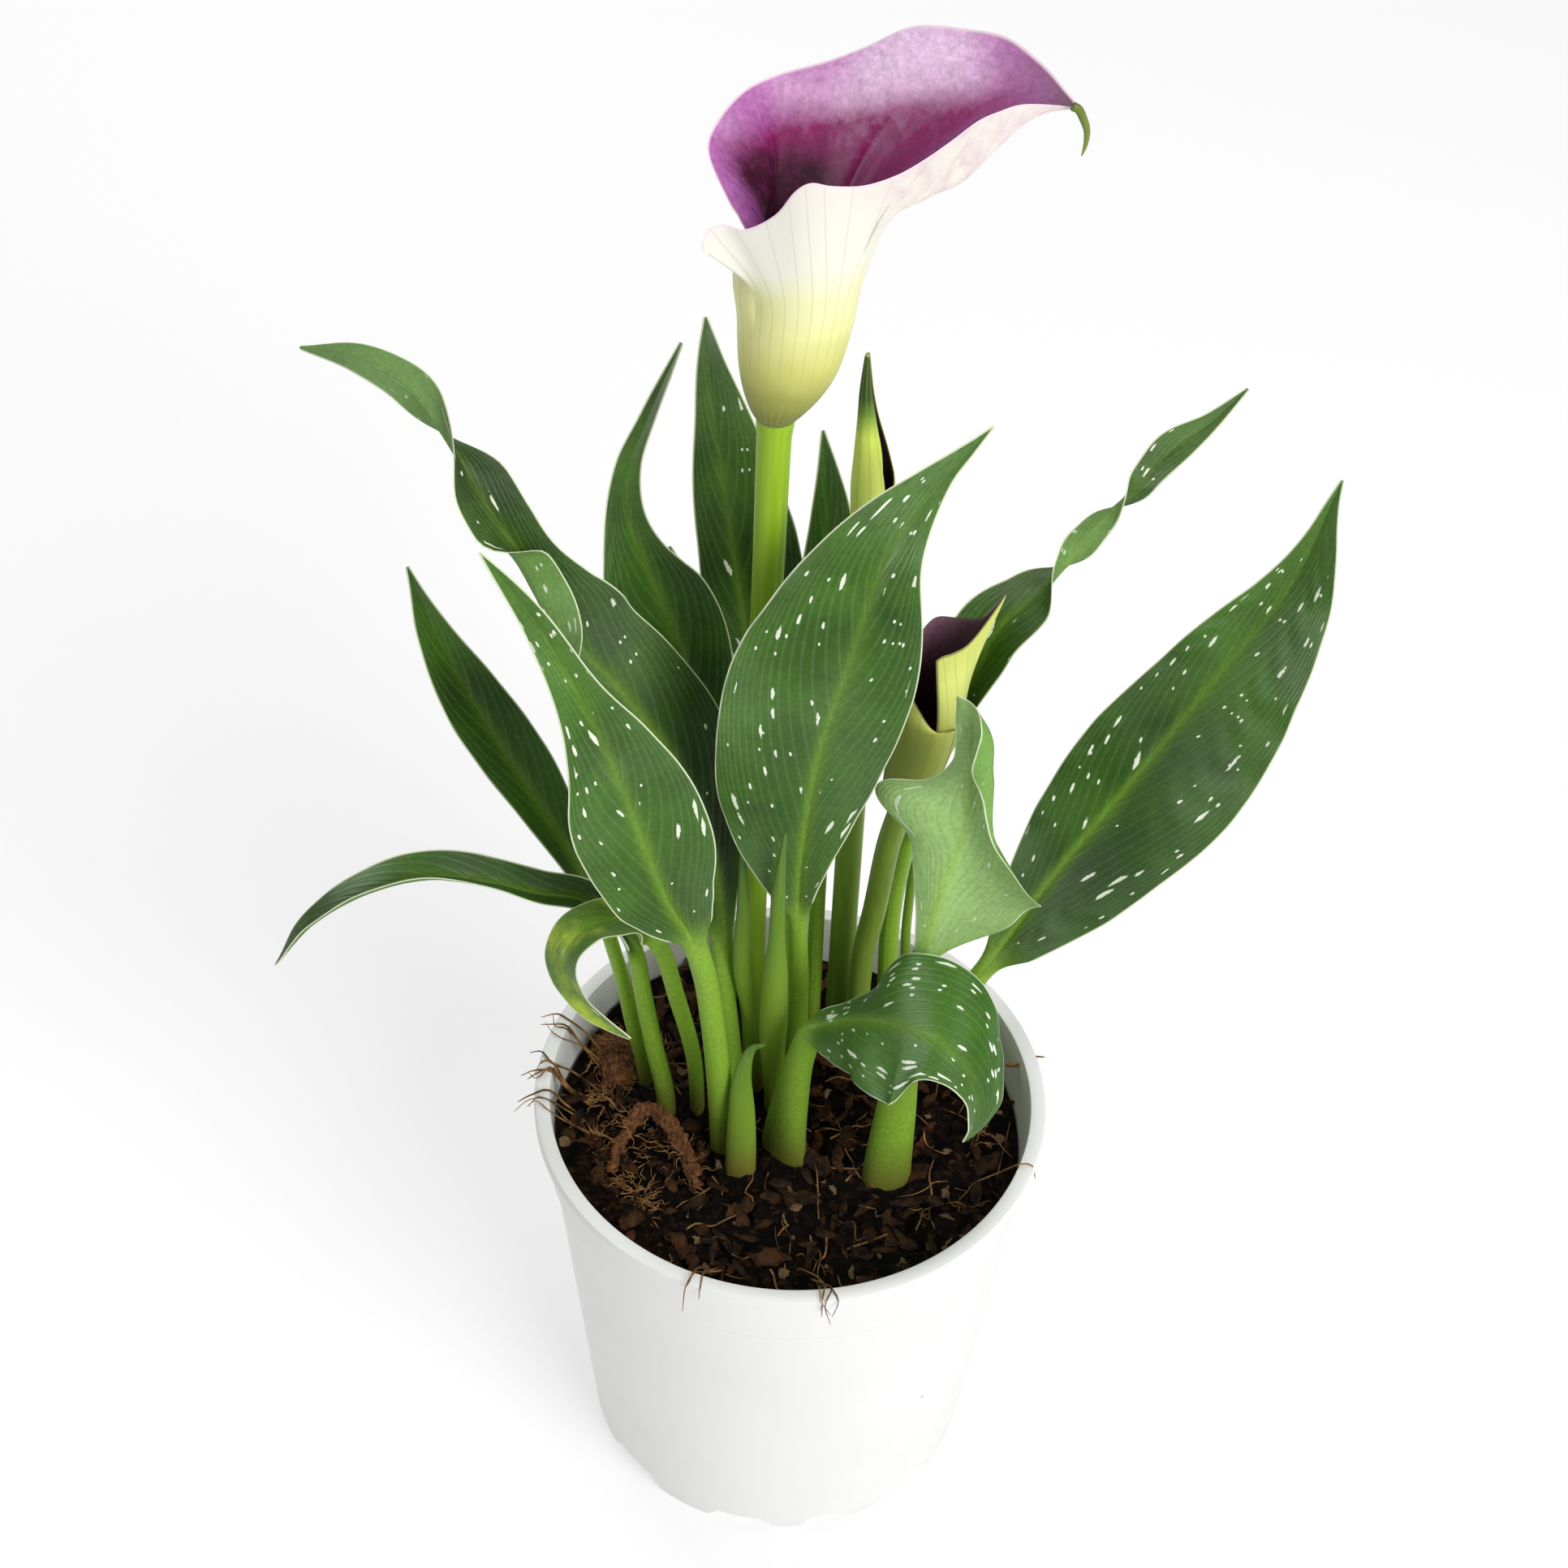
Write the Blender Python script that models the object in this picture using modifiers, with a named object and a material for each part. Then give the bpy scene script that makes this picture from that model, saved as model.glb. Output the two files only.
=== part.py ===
"""Potted calla lily: a white nursery pot, potting mix, fourteen leaves, young shoots and three blooms.

Every leaf and bloom is a node of its own. Lengths in the tables are millimetres, angles are degrees,
and MM turns millimetres into Blender's metres. The pot stands on z = 0 with its axis on the z axis,
and the viewer of the photograph looks along +Y from above.
"""
import math

import bmesh
import bpy
from mathutils import Matrix, Vector

MM = 0.001

# The pot, a 13 cm nursery pot
RIM_RADIUS = 65.0
POT_HEIGHT = 122.0
BASE_RADIUS = 52.5
WALL = 1.8
COLLAR_BOTTOM = 102.0
FLOOR_TOP = 7.0
FLOOR_BOTTOM = 5.0
FOOT_NOTCH_HEIGHT = 4.6
# Notches in the foot: direction from the front, positive to the right, and width, both in degrees
FOOT_NOTCHES = [(-47, 20), (-9.5, 20), (15.5, 14), (42, 17), (97, 20), (132, 18), (163, 16),
                (196, 20), (232, 18), (268, 20)]
DRAIN_HOLES = 6
DRAIN_HOLE_RADIUS = 4.0
DRAIN_RING_RADIUS = 32.0

# The potting mix
SOIL_LEVEL = 107.0
SOIL_RADIUS = 59.3
STEM_FOOT = 97.0
TOUCH_GAP = 0.3
# Seats for the bits that lie on the mix: middle x, y, radius and level
SEATS = [(-46, 18, 13, 108.5), (-34, -12, 15, 107.0)]

# Thickness of the living parts
BLADE_THICKNESS = 0.64
SPATHE_THICKNESS = 1.0

# Leaves. spine: points along the midrib from the foot to the tip. blade: where along those points the
# blade starts. face: way along the blade, direction of the upper face, twist about the midrib.
# width: way, left half, right half. form: way, fold at the midrib, curl of each half.
# stalk: half width in the soil, half width at the blade, depth over width in the soil.
# wave: waves along the margin, their height, their start.
LEAVES = {
    "leaf_tall_left": dict(
        spine=[(-14, 2, 97), (-14, 2, 113), (-16, 3, 140), (-18, 5, 160), (-19, 7, 182), (-24, 8, 208),
               (-31, 8, 228), (-41, 8, 247), (-49, 8, 258), (-54, 8, 271), (-59, 9, 284),
               (-64, 10, 291.5), (-69.5, 12, 299), (-75, 15, 306), (-80, 19, 311), (-86, 24, 315),
               (-97, 30, 317), (-110.5, 37, 314)],
        blade=3.0,
        face=[(0, 0.4, -0.8, 0.4, 0), (0.3, 0.35, -0.75, 0.6, 0), (0.6, 0.2, -0.7, 0.7, 0),
              (0.73, 0.2, -0.7, 0.7, 10), (0.8, 0.1, -0.7, 0.7, 100), (0.86, 0, -0.7, 0.7, 175),
              (1, 0, -0.7, 0.7, 190)],
        width=[(0, 2, 2), (0.1, 6, 4), (0.2, 13, 10), (0.3, 20, 16), (0.4, 21, 18), (0.5, 15, 17),
               (0.56, 14, 16), (0.6, 14, 12), (0.645, 11, 5.5), (0.69, 6.5, 5), (0.74, 6.5, 6.5),
               (0.78, 5.5, 5.5), (0.82, 5, 5), (0.87, 4.5, 4.5), (0.93, 3.4, 3.4), (1, 0.5, 0.5)],
        form=[(0, 30, 0, 0), (0.3, 15, 0, -20), (0.5, 15, 20, -20), (0.56, 15, 120, 0),
              (0.6, 15, 165, 0), (0.645, 15, 150, 0), (0.7, 20, 10, 0), (1, 20, 0, 0)],
        crease=(0.1, 0.5), stalk=(2.8, 2.5, 1.0), wave=(3, 0.6, 57)),
    "leaf_front_left": dict(
        spine=[(-17, -8, 97), (-17, -8, 113), (-18, -12, 140), (-19.5, -15, 163), (-21.5, -17, 182.5),
               (-24.5, -18, 195.5), (-29, -18.5, 205.5), (-34, -19, 223), (-38, -19, 238),
               (-43, -18, 253.5), (-49, -16, 267.5), (-58, -10, 281), (-69, -4, 293)],
        blade=4.5,
        face=[(0, 0.1, -0.9, 0.4, 0), (0.5, 0.15, -0.8, 0.6, 0), (1, 0.2, -0.7, 0.7, 0)],
        width=[(0, 2.5, 3), (0.06, 3.5, 5), (0.1, 5.5, 8), (0.15, 9, 10.5), (0.2, 12, 12),
               (0.3, 14.5, 15), (0.44, 14.5, 15), (0.575, 7.5, 11.5), (0.7, 4, 6.5), (0.85, 2.2, 4),
               (0.93, 1.6, 2.5), (1, 0.5, 0.5)],
        form=[(0, 35, 0, 0), (0.3, 15, -10, -10), (0.7, 15, 0, 0), (1, 25, 0, 0)],
        crease=(0, 1), stalk=(3.2, 2.8, 1.0), wave=(2.5, 1.0, 57)),
    "leaf_narrow_left": dict(
        spine=[(-38, 12, 97), (-38, 12, 113), (-41, 10, 135), (-44, 10, 155), (-51, 13, 180),
               (-63, 18, 202), (-77, 26, 224), (-87, 33, 242), (-93, 40, 254)],
        blade=3.3,
        face=[(0, 0.3, -0.8, 0.5, 0), (0.5, 0.3, -0.65, 0.72, 0), (1, 0.3, -0.6, 0.7, 0)],
        width=[(0, 2, 2), (0.2, 4, 4), (0.4, 6, 8), (0.55, 8, 9), (0.7, 8.5, 7.5), (0.85, 5.5, 4),
               (0.95, 2, 1.5), (1, 0.5, 0.5)],
        form=[(0, 30, 0, 0), (0.4, 18, 0, 0), (1, 25, 0, 0)],
        crease=(0, 1), stalk=(2.2, 1.8, 1.0), wave=(2, 0.6, 0)),
    "leaf_arching_left": dict(
        spine=[(-32, 3, 97), (-32, 3, 113), (-35, 3, 134), (-37.5, 3, 153), (-39.5, 3, 168.5),
               (-44.5, 2, 180.5), (-52.5, 1, 187.5), (-61.5, 0, 189.5), (-72.5, -2, 194.5),
               (-85.5, -4, 198), (-99, -6, 195), (-113, -7, 185), (-125, -5, 167)],
        blade=3.6,
        face=[(0, 0.6, -0.5, 0.6, 0), (0.25, 0.3, -0.3, 0.9, 0), (0.5, 0, -0.1, 1, 0),
              (1, -0.5, -0.1, 0.8, 0)],
        width=[(0, 2, 2), (0.2, 6, 5), (0.4, 7, 6), (0.6, 6, 6), (0.8, 4, 4), (0.92, 2.5, 2.5),
               (1, 0.5, 0.5)],
        form=[(0, 35, 0, 0), (0.3, 40, 0, 0), (0.6, 45, 0, 0), (0.9, 30, 0, 0), (1, 10, 0, 0)],
        crease=(0, 1), stalk=(2.5, 2.2, 1.0), wave=(2, 0.8, 0)),
    "leaf_small_drooping": dict(
        spine=[(-24, 4, 97), (-24, 4, 112), (-25, 0, 135), (-29, -3, 159.5), (-32.5, -4, 176.5),
               (-38, -6, 186.5), (-44, -11, 192.5), (-50, -17, 194.5), (-53, -22, 192),
               (-51.5, -25, 186), (-46, -27, 178.5), (-38, -29, 172.5)],
        blade=4.2,
        face=[(0, -0.1, -0.5, 0.8, 0), (0.35, -0.3, -0.3, 0.9, 0), (0.6, -0.8, -0.4, 0.5, 0),
              (0.8, -0.6, -0.6, 0.2, 0), (1, -0.3, -0.8, 0, 0)],
        width=[(0, 2, 2), (0.15, 5, 5), (0.35, 7, 7), (0.6, 6.5, 6.5), (0.8, 4, 4), (1, 0.5, 0.5)],
        form=[(0, 35, 0, 0), (0.4, 10, 0, 0), (1, 20, 0, 0)],
        crease=(0, 1), stalk=(1.9, 2.1, 1.0), wave=(1.5, 0.6, 0)),
    "leaf_back_left": dict(
        spine=[(-17, 25, 97), (-17, 25, 113), (-18, 26, 140), (-21, 28, 180), (-25, 29, 215),
               (-31, 33, 242), (-37, 38, 256), (-42, 42, 269), (-42, 46, 280), (-38, 50, 291),
               (-31, 57, 306)],
        blade=3.2,
        face=[(0, 0.1, -0.9, 0.4, 0), (0.5, 0.15, -0.8, 0.6, 0), (1, 0.1, -0.8, 0.6, 0)],
        width=[(0, 2, 2), (0.2, 8, 8), (0.4, 14, 12), (0.52, 16, 11), (0.6, 11, 6), (0.68, 6, 4),
               (0.8, 3, 2.5), (0.92, 1.5, 1.5), (1, 0.5, 0.5)],
        form=[(0, 30, 0, 0), (0.4, 15, 0, 0), (1, 25, 0, 0)],
        crease=(0, 1), stalk=(2.6, 2.2, 1.0), wave=(2, 0.8, 0)),
    "leaf_back_small": dict(
        spine=[(-10, 30, 97), (-10, 30, 113), (-11, 30, 142), (-14, 33, 183), (-19, 36, 218),
               (-26, 39.5, 242), (-33, 43.5, 260)],
        blade=2.6,
        face=[(0, 0.2, -0.9, 0.4, 0), (1, 0.2, -0.7, 0.6, 0)],
        width=[(0, 1.8, 1.8), (0.3, 5, 5), (0.6, 6, 6), (0.85, 3, 3), (1, 0.5, 0.5)],
        form=[(0, 30, 0, 0), (1, 22, 0, 0)],
        crease=(0, 1), stalk=(2.0, 1.7, 1.0), wave=(1, 0.4, 0)),
    "leaf_back_centre": dict(
        spine=[(-3, 37, 97), (-3, 37, 113), (-4, 38, 143), (-8, 41, 182), (-13, 45, 222), (-18, 49, 254),
               (-22, 53, 280), (-25, 58, 299), (-26, 63, 309)],
        blade=3.0,
        face=[(0, 0.1, -0.9, 0.4, 0), (0.5, 0.1, -0.8, 0.6, 0), (1, 0.1, -0.8, 0.6, 0)],
        width=[(0, 2, 2), (0.2, 9, 9), (0.42, 10, 15), (0.6, 9, 15), (0.72, 8, 12), (0.84, 5, 8),
               (0.94, 2.5, 3.5), (1, 0.5, 0.5)],
        form=[(0, 30, 0, 0), (0.4, 15, 0, 0), (1, 25, 0, 0)],
        crease=(0, 1), stalk=(2.6, 2.2, 1.0), wave=(2, 0.8, 0)),
    "leaf_back_slim": dict(
        spine=[(5, 31, 97), (5, 31, 113), (5, 33, 150), (5, 35, 188), (4, 38, 218), (3, 42, 246),
               (3, 47, 267), (1, 53, 287)],
        blade=3.0,
        face=[(0, 0, -0.9, 0.4, 0), (1, 0, -0.8, 0.6, 0)],
        width=[(0, 1.8, 1.8), (0.3, 6, 6), (0.6, 7, 7.5), (0.8, 4.5, 6), (0.92, 2, 3), (1, 0.5, 0.5)],
        form=[(0, 30, 0, 0), (1, 22, 0, 0)],
        crease=(0, 1), stalk=(2.2, 1.9, 1.0), wave=(1, 0.4, 0)),
    "leaf_front_centre": dict(
        spine=[(1, 15, 97), (1, 15, 113), (1, 9, 151), (0, 1, 180), (0, -3, 207), (3, -4, 240),
               (9, -3, 268), (15, 3, 290), (24, 12, 301), (36, 22, 311)],
        blade=3.0,
        face=[(0, 0, -0.95, 0.3, 0), (0.5, 0, -0.9, 0.45, 0), (1, 0.1, -0.7, 0.7, 0)],
        width=[(0, 2, 2), (0.1, 6, 4), (0.2, 15, 8), (0.3, 22, 13), (0.42, 25, 18), (0.55, 26, 20),
               (0.67, 22, 17), (0.8, 12, 10), (0.9, 5, 4), (0.95, 2.5, 2), (1, 0.5, 0.5)],
        form=[(0, 30, 10, 10), (0.3, 12, -12, -14), (0.7, 10, -10, -10), (1, 25, 0, 0)],
        crease=(0, 1), stalk=(2.8, 2.3, 1.0), wave=(2.5, 1.0, 29)),
    "leaf_twisted_right": dict(
        spine=[(25, 38, 97), (25, 38, 113), (24, 34, 151), (26, 30, 181), (31, 28, 208), (36, 28, 229),
               (40, 29, 241), (43, 30, 250), (49, 31, 258), (56, 34, 266), (63, 39, 274), (70, 43, 280),
               (78, 48, 288), (87, 53, 293), (95, 58, 299)],
        blade=3.0,
        face=[(0, -0.4, -0.6, 0.7, 0), (0.55, -0.3, -0.6, 0.7, -10), (0.62, -0.3, -0.6, 0.7, -90),
              (0.67, -0.3, -0.6, 0.7, -165), (0.71, -0.3, -0.6, 0.7, -195),
              (0.755, -0.3, -0.6, 0.7, -270), (0.8, -0.3, -0.6, 0.7, -345), (1, -0.3, -0.6, 0.7, -360)],
        width=[(0, 2, 2), (0.1, 5, 4), (0.25, 12, 6), (0.4, 12, 8), (0.48, 10, 8.5), (0.55, 7, 7.5),
               (0.62, 4.5, 4.5), (0.67, 3.7, 3.7), (0.75, 3.2, 3.2), (0.8, 3.6, 3.6), (0.86, 4.4, 4.4),
               (0.93, 2.3, 2.3), (1, 0.5, 0.5)],
        form=[(0, 50, 0, 0), (0.3, 50, 0, 0), (0.42, 40, 0, 0), (0.5, 20, 0, 0), (0.56, 12, 0, 0),
              (1, 20, 0, 0)],
        crease=(0, 1), stalk=(2.8, 2.4, 1.0), wave=(2, 0.5, 0)),
    "leaf_broad_right": dict(
        spine=[(36, 26, 97), (36, 26, 112), (42, 24, 130), (51, 26, 147), (64, 33, 169), (82, 43, 194),
               (99, 52, 219), (114, 59, 243), (122, 64, 271)],
        blade=2.6,
        face=[(0, -0.3, -0.8, 0.6, 0), (0.5, -0.2, -0.65, 0.72, 0), (1, -0.3, -0.6, 0.7, 0)],
        width=[(0, 2, 2), (0.1, 6, 10), (0.2, 11, 17), (0.3, 15, 21), (0.45, 17, 25), (0.6, 14, 23),
               (0.7, 11, 19), (0.8, 7, 13), (0.9, 3, 6.5), (0.96, 1.5, 2.5), (1, 0.5, 0.5)],
        form=[(0, 30, 0, 0), (0.3, 12, -8, -8), (0.7, 10, -6, -6), (1, 25, 0, 0)],
        crease=(0, 1), stalk=(3.0, 2.6, 1.0), wave=(3, 1.2, 0)),
    "leaf_cupped_right": dict(
        spine=[(25, -16, 97), (25, -16, 113), (26, -15, 135), (27, -14, 162), (29, -13, 191),
               (30.5, -12.5, 202), (32, -12, 211.5), (34, -11, 220), (35, -10, 226), (36, -9, 233.5),
               (36, -8, 241), (35, -7, 248.5), (34, -5.5, 254), (32, -4, 259)],
        blade=3.7,
        face=[(0, -0.2, 0.95, 0.2, 0), (0.5, -0.2, 0.9, 0.4, 0), (1, -0.1, 0.6, 0.8, 0)],
        width=[(0, 2, 2), (0.06, 11, 2), (0.13, 19, 2.5), (0.28, 23, 5), (0.38, 24, 8), (0.47, 19, 12),
               (0.56, 13, 22), (0.62, 11, 20), (0.68, 11, 11), (0.78, 13, 4.5), (0.86, 15, 3),
               (0.94, 9, 2.5), (1, 0.5, 0.5)],
        form=[(0, 15, 0, 0), (0.15, 10, -20, 10), (0.3, 10, -45, 30), (0.42, 5, -80, 60),
              (0.55, 5, -130, 70), (0.7, 5, -175, 60), (0.88, 5, -175, 20), (1, 10, 0, 0)],
        crease=(0, 1), stalk=(6.5, 2.8, 0.6), wave=(1.5, 0.6, 0)),
    "leaf_low_right": dict(
        spine=[(-1, -8, 97), (-1, -8, 112), (0, -9, 128), (2, -12, 149), (5, -15, 162), (12, -20, 171),
               (19, -26, 178), (26, -31, 182), (33, -35, 182), (39, -38, 177), (42, -40, 170),
               (42, -42, 162), (40, -43, 157)],
        blade=3.7,
        face=[(0, -0.3, -0.3, 0.9, 0), (0.25, -0.2, -0.4, 0.9, 0), (0.4, -0.3, -0.6, 0.65, 0),
              (0.65, 0.2, -0.6, 0.6, 0), (0.8, 0.7, -0.6, 0.4, 0), (0.92, 0.8, -0.6, 0.1, 0),
              (1, 0.7, -0.7, -0.1, 0)],
        width=[(0, 3, 3), (0.08, 4, 6), (0.18, 5, 11), (0.3, 9, 15), (0.42, 16, 18), (0.5, 18, 18),
               (0.57, 18, 13), (0.66, 16, 8), (0.78, 12, 5), (0.9, 8, 4), (0.97, 3, 2), (1, 0.5, 0.5)],
        form=[(0, 20, 0, 0), (0.2, 5, -10, -50), (0.35, 5, -20, -20), (0.7, 5, -30, -10),
              (1, 15, 0, 0)],
        crease=(0, 1), stalk=(7.6, 3.2, 0.5), wave=(2.5, 1.0, 0)),
}

# Young shoots and the short sheath: points from foot to tip with the half width and depth over width
SHOOTS = {
    "shoot_left": dict(
        spine=[(-9, 12, 97), (-9, 12, 113), (-11, 6, 145), (-13, 2, 165), (-13, 1, 185), (-14, 0, 214)],
        half=[(0, 2.2), (0.5, 2.4), (0.68, 2.2), (0.85, 1.2), (1, 0.35)], depth=0.9),
    "shoot_centre": dict(
        spine=[(-4, 6, 97), (-4, 6, 113), (-5, 2, 135), (-5, -3, 161), (-5, -7, 185), (-5, -9, 203),
               (-4, -10, 222)],
        half=[(0, 2.6), (0.25, 3.0), (0.42, 3.5), (0.58, 3.0), (0.7, 2.0), (0.85, 1.5), (1, 0.35)],
        depth=0.9),
    "stalk_right": dict(
        spine=[(30, 47, 97), (30, 47, 113), (29, 45, 135), (29, 43, 151), (29, 40, 172)],
        half=[(0, 1.3), (0.8, 1.2), (1, 0.5)], depth=1.0),
    "sheath_front": dict(
        spine=[(-12, -15, 97), (-12, -15, 112), (-12, -16, 130), (-12, -15, 145), (-10, -14, 153),
               (-7, -15, 156)],
        half=[(0, 3.9), (0.35, 3.8), (0.65, 3.0), (0.85, 1.7), (1, 0.4)], depth=0.62),
}

# Blooms. The tube rises from the stem as rings of (x, y, z, radius), and the free edge of the spathe
# is a list of (direction of the tube below it, x, y, z), all the way round.
BLOOMS = {
    "bloom_open": dict(
        stem=[(-10, 21, 97), (-10, 21, 113), (-11, 20, 155), (-11, 20, 190), (-11, 20, 228),
              (-10, 20, 268), (-9.5, 20, 309)],
        stem_radius=(3.0, 3.6),
        tube=[(-9, 20, 315, 5.2), (-8, 20, 320, 7.6), (-7, 20, 326, 9.8), (-6, 20, 337, 11.4),
              (-5.5, 20, 348, 13)],
        rim=[(-50, -16, 13, 358), (-70, -21, 17.5, 366), (-93, -24, 24, 370), (-116, -23, 32, 372),
             (-136, -18, 40, 375), (-155, -11, 46, 376), (-172, -2, 48, 378), (-186, 6, 49, 381),
             (-200, 15, 48, 386), (-212, 25, 45.5, 387), (-223, 33, 42.5, 387), (-233, 40, 39, 383.5),
             (-242, 45, 35, 380), (-249, 48, 32, 377.5), (-255, 48.5, 25.5, 371.5), (-261, 45, 28, 380),
             (-268, 40.5, 29, 380), (-275, 35, 26, 381.5), (-282, 31, 23, 381.5), (-289, 27, 20, 381),
             (-296, 22, 16.5, 378.5), (-303, 17, 13.5, 376), (-311, 12, 11, 374), (-320, 6, 8.5, 373),
             (-332, 0, 6, 374), (-344, -4, 5, 375), (-356, -7, 5, 373), (-368, -11, 6, 367),
             (-380, -15, 7, 363), (-391, -21, 7, 362), (-400, -24, 6, 359)],
        limb={-212: [(6, 37.5, 362)], -223: [(8.5, 36, 363), (22, 38.5, 374.5)],
              -233: [(10, 34.5, 363), (28, 37, 376.5)], -242: [(11, 32.5, 363), (33, 34.5, 378)],
              -249: [(12, 30.5, 363), (35, 32, 378.5)],
              -255: [(12.5, 28.5, 363), (35, 30, 378), (45.5, 30, 379)],
              -261: [(13, 26.5, 363), (33, 27.5, 375.5)], -268: [(13.5, 24, 363), (30, 24.5, 371.5)],
              -275: [(13.6, 21.5, 363.5), (25, 21.5, 367.5)], -282: [(13.4, 19, 363.5), (20, 19.5, 366)],
              -289: [(12.5, 16, 363.5), (17.5, 17, 366)], -296: [(11, 13.5, 363.5)],
              -303: [(9, 11, 363)]},
        cavity_floor=318, spadix=(2.6, 352)),
    "bloom_young": dict(
        stem=[(17, 26, 97), (17, 26, 113), (17, 24, 146), (19, 21, 168), (21, 18, 193), (23, 17, 205)],
        stem_radius=(2.8, 2.9),
        tube=[(23.5, 17, 210, 4.4), (25, 16, 217, 6.0), (26.5, 15.5, 226, 6.9), (28, 15, 238, 7.2)],
        rim=[(-100, 23, 19, 253), (-125, 25, 21, 257), (-155, 28, 23, 259), (-190, 33, 23, 259),
             (-215, 38, 20, 262), (-235, 42, 17, 271), (-262, 37, 15, 262), (-290, 34, 12, 260),
             (-312, 31, 10.5, 259), (-330, 27.5, 9.5, 258), (-350, 26.5, 9, 251), (-368, 26, 8.5, 246),
             (-390, 25, 9, 243), (-415, 23, 12, 245)],
        limb={}, cavity_floor=217, spadix=None),
}

# The rolled bloom: its stem, then rings of (x, y, z, radius) up to the hooked tip
ROLLED_BLOOM = dict(
    stem=[(12, 34, 97), (12, 34, 113), (12, 32, 155), (12, 30, 183), (12, 30, 222), (11, 31, 251),
          (11.5, 31, 270)],
    stem_radius=(3.4, 3.1),
    bud=[(11.5, 31.5, 278, 3.8), (11.5, 32, 287, 4.2), (11, 33, 295, 3.3), (10.2, 34, 303, 2.1),
         (9.6, 35, 310, 1.3), (9.5, 37, 318, 0.4)])


def vec(point):
    """A point of a table, in metres."""
    return Vector(point[:3]) * MM


def ease(value):
    """Rise smoothly from 0 to 1."""
    value = min(max(value, 0.0), 1.0)
    return value * value * (3 - 2 * value)


def read_rows(rows, way):
    """Read the values at a way from rows of (way, value, ...), smoothly between the rows."""
    last = len(rows) - 1
    way = min(max(way, rows[0][0]), rows[last][0])
    index = max(i for i in range(last) if rows[i][0] <= way or i == 0)

    def slope(i, k):
        low, high = max(i - 1, 0), min(i + 1, last)
        return (rows[high][k] - rows[low][k]) / (rows[high][0] - rows[low][0])

    step = rows[index + 1][0] - rows[index][0]
    t = (way - rows[index][0]) / step
    values = []
    for k in range(1, len(rows[0])):
        start, end = rows[index][k], rows[index + 1][k]
        values.append((2 * t ** 3 - 3 * t ** 2 + 1) * start + (t ** 3 - 2 * t ** 2 + t) * step * slope(index, k)
                      + (3 * t ** 2 - 2 * t ** 3) * end + (t ** 3 - t ** 2) * step * slope(index + 1, k))
    return values


class Spine:
    """A smooth line through hand-chosen points, measured along its length."""

    def __init__(self, points):
        line = [Vector(p[:3]) for p in points]
        line = [2 * line[0] - line[1]] + line + [2 * line[-1] - line[-2]]
        self.points, self.own = [], []
        for i in range(1, len(line) - 2):
            self._add_piece(line[i - 1:i + 3], i - 1)
        self.points.append(line[-2])
        self.own.append(float(len(line) - 3))
        self.far = [0.0]
        for a, b in zip(self.points, self.points[1:]):
            self.far.append(self.far[-1] + (b - a).length)
        self.length = self.far[-1]

    def _add_piece(self, four, number):
        a, b, c, d = four
        t0 = 0.0
        t1 = t0 + math.sqrt((b - a).length)
        t2 = t1 + math.sqrt((c - b).length)
        t3 = t2 + math.sqrt((d - c).length)
        for k in range(16):
            t = t1 + (t2 - t1) * k / 16
            a1 = a.lerp(b, (t - t0) / (t1 - t0))
            a2 = b.lerp(c, (t - t1) / (t2 - t1))
            a3 = c.lerp(d, (t - t2) / (t3 - t2))
            b1 = a1.lerp(a2, (t - t0) / (t2 - t0))
            b2 = a2.lerp(a3, (t - t1) / (t3 - t1))
            self.points.append(b1.lerp(b2, (t - t1) / (t2 - t1)))
            self.own.append(number + k / 16)

    def at(self, distance):
        """The point a distance along the line."""
        distance = min(max(distance, 0.0), self.length)
        i = max(k for k in range(len(self.far) - 1) if self.far[k] <= distance or k == 0)
        t = (distance - self.far[i]) / (self.far[i + 1] - self.far[i])
        return self.points[i].lerp(self.points[i + 1], t)

    def heading(self, distance):
        """The direction of the line a distance along it."""
        reach = 0.004 * self.length
        return (self.at(distance + reach) - self.at(distance - reach)).normalized()

    def distance_of(self, number):
        """How far along the line a numbered point lies, with fractions between the points."""
        i = max(k for k in range(len(self.own) - 1) if self.own[k] <= number)
        t = (number - self.own[i]) / (self.own[i + 1] - self.own[i])
        return self.far[i] + t * (self.far[i + 1] - self.far[i])


def blade_half(way, side, part, width, form, leaf, rib):
    """Top and underside of one half of a blade, across and above the midrib, in millimetres."""
    half = max(width[0 if side < 0 else 1], 0.25)
    curl = form[1 if side < 0 else 2]
    bend_start, bend_end = leaf["crease"]

    def slope(place):
        bent = (place - bend_start) / (bend_end - bend_start)
        return math.radians(form[0] + curl * min(max(bent, 0.0), 1.0))

    across, above, pieces = 0.0, 0.0, 16
    reach = part * half
    for k in range(pieces):
        angle = slope(part * (k + 0.5) / pieces)
        across += math.cos(angle) * reach / pieces
        above += math.sin(angle) * reach / pieces
    angle = slope(part)
    waves, height, start = leaf["wave"]
    phase = math.radians(start) + (0 if side < 0 else 1.7)
    fade = ease(way / 0.15) * ease((1 - way) / 0.12)
    above += height * min(half / 15, 1) * part ** 2 * math.sin(2 * math.pi * waves * way + phase) * fade
    up_across, up_above = -math.sin(angle) * side, math.cos(angle)
    thick = BLADE_THICKNESS / 2 + 0.18 * (1 - part) * (1 - way)
    under = thick + rib[0] * math.exp(-(reach / rib[1]) ** 2)
    if part == 0:
        return (0.0, thick / math.cos(angle)), (0.0, -under / math.cos(angle))
    top = (side * across + up_across * thick, above + up_above * thick)
    bottom = (side * across - up_across * under, above - up_above * under)
    return top, bottom


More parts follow.
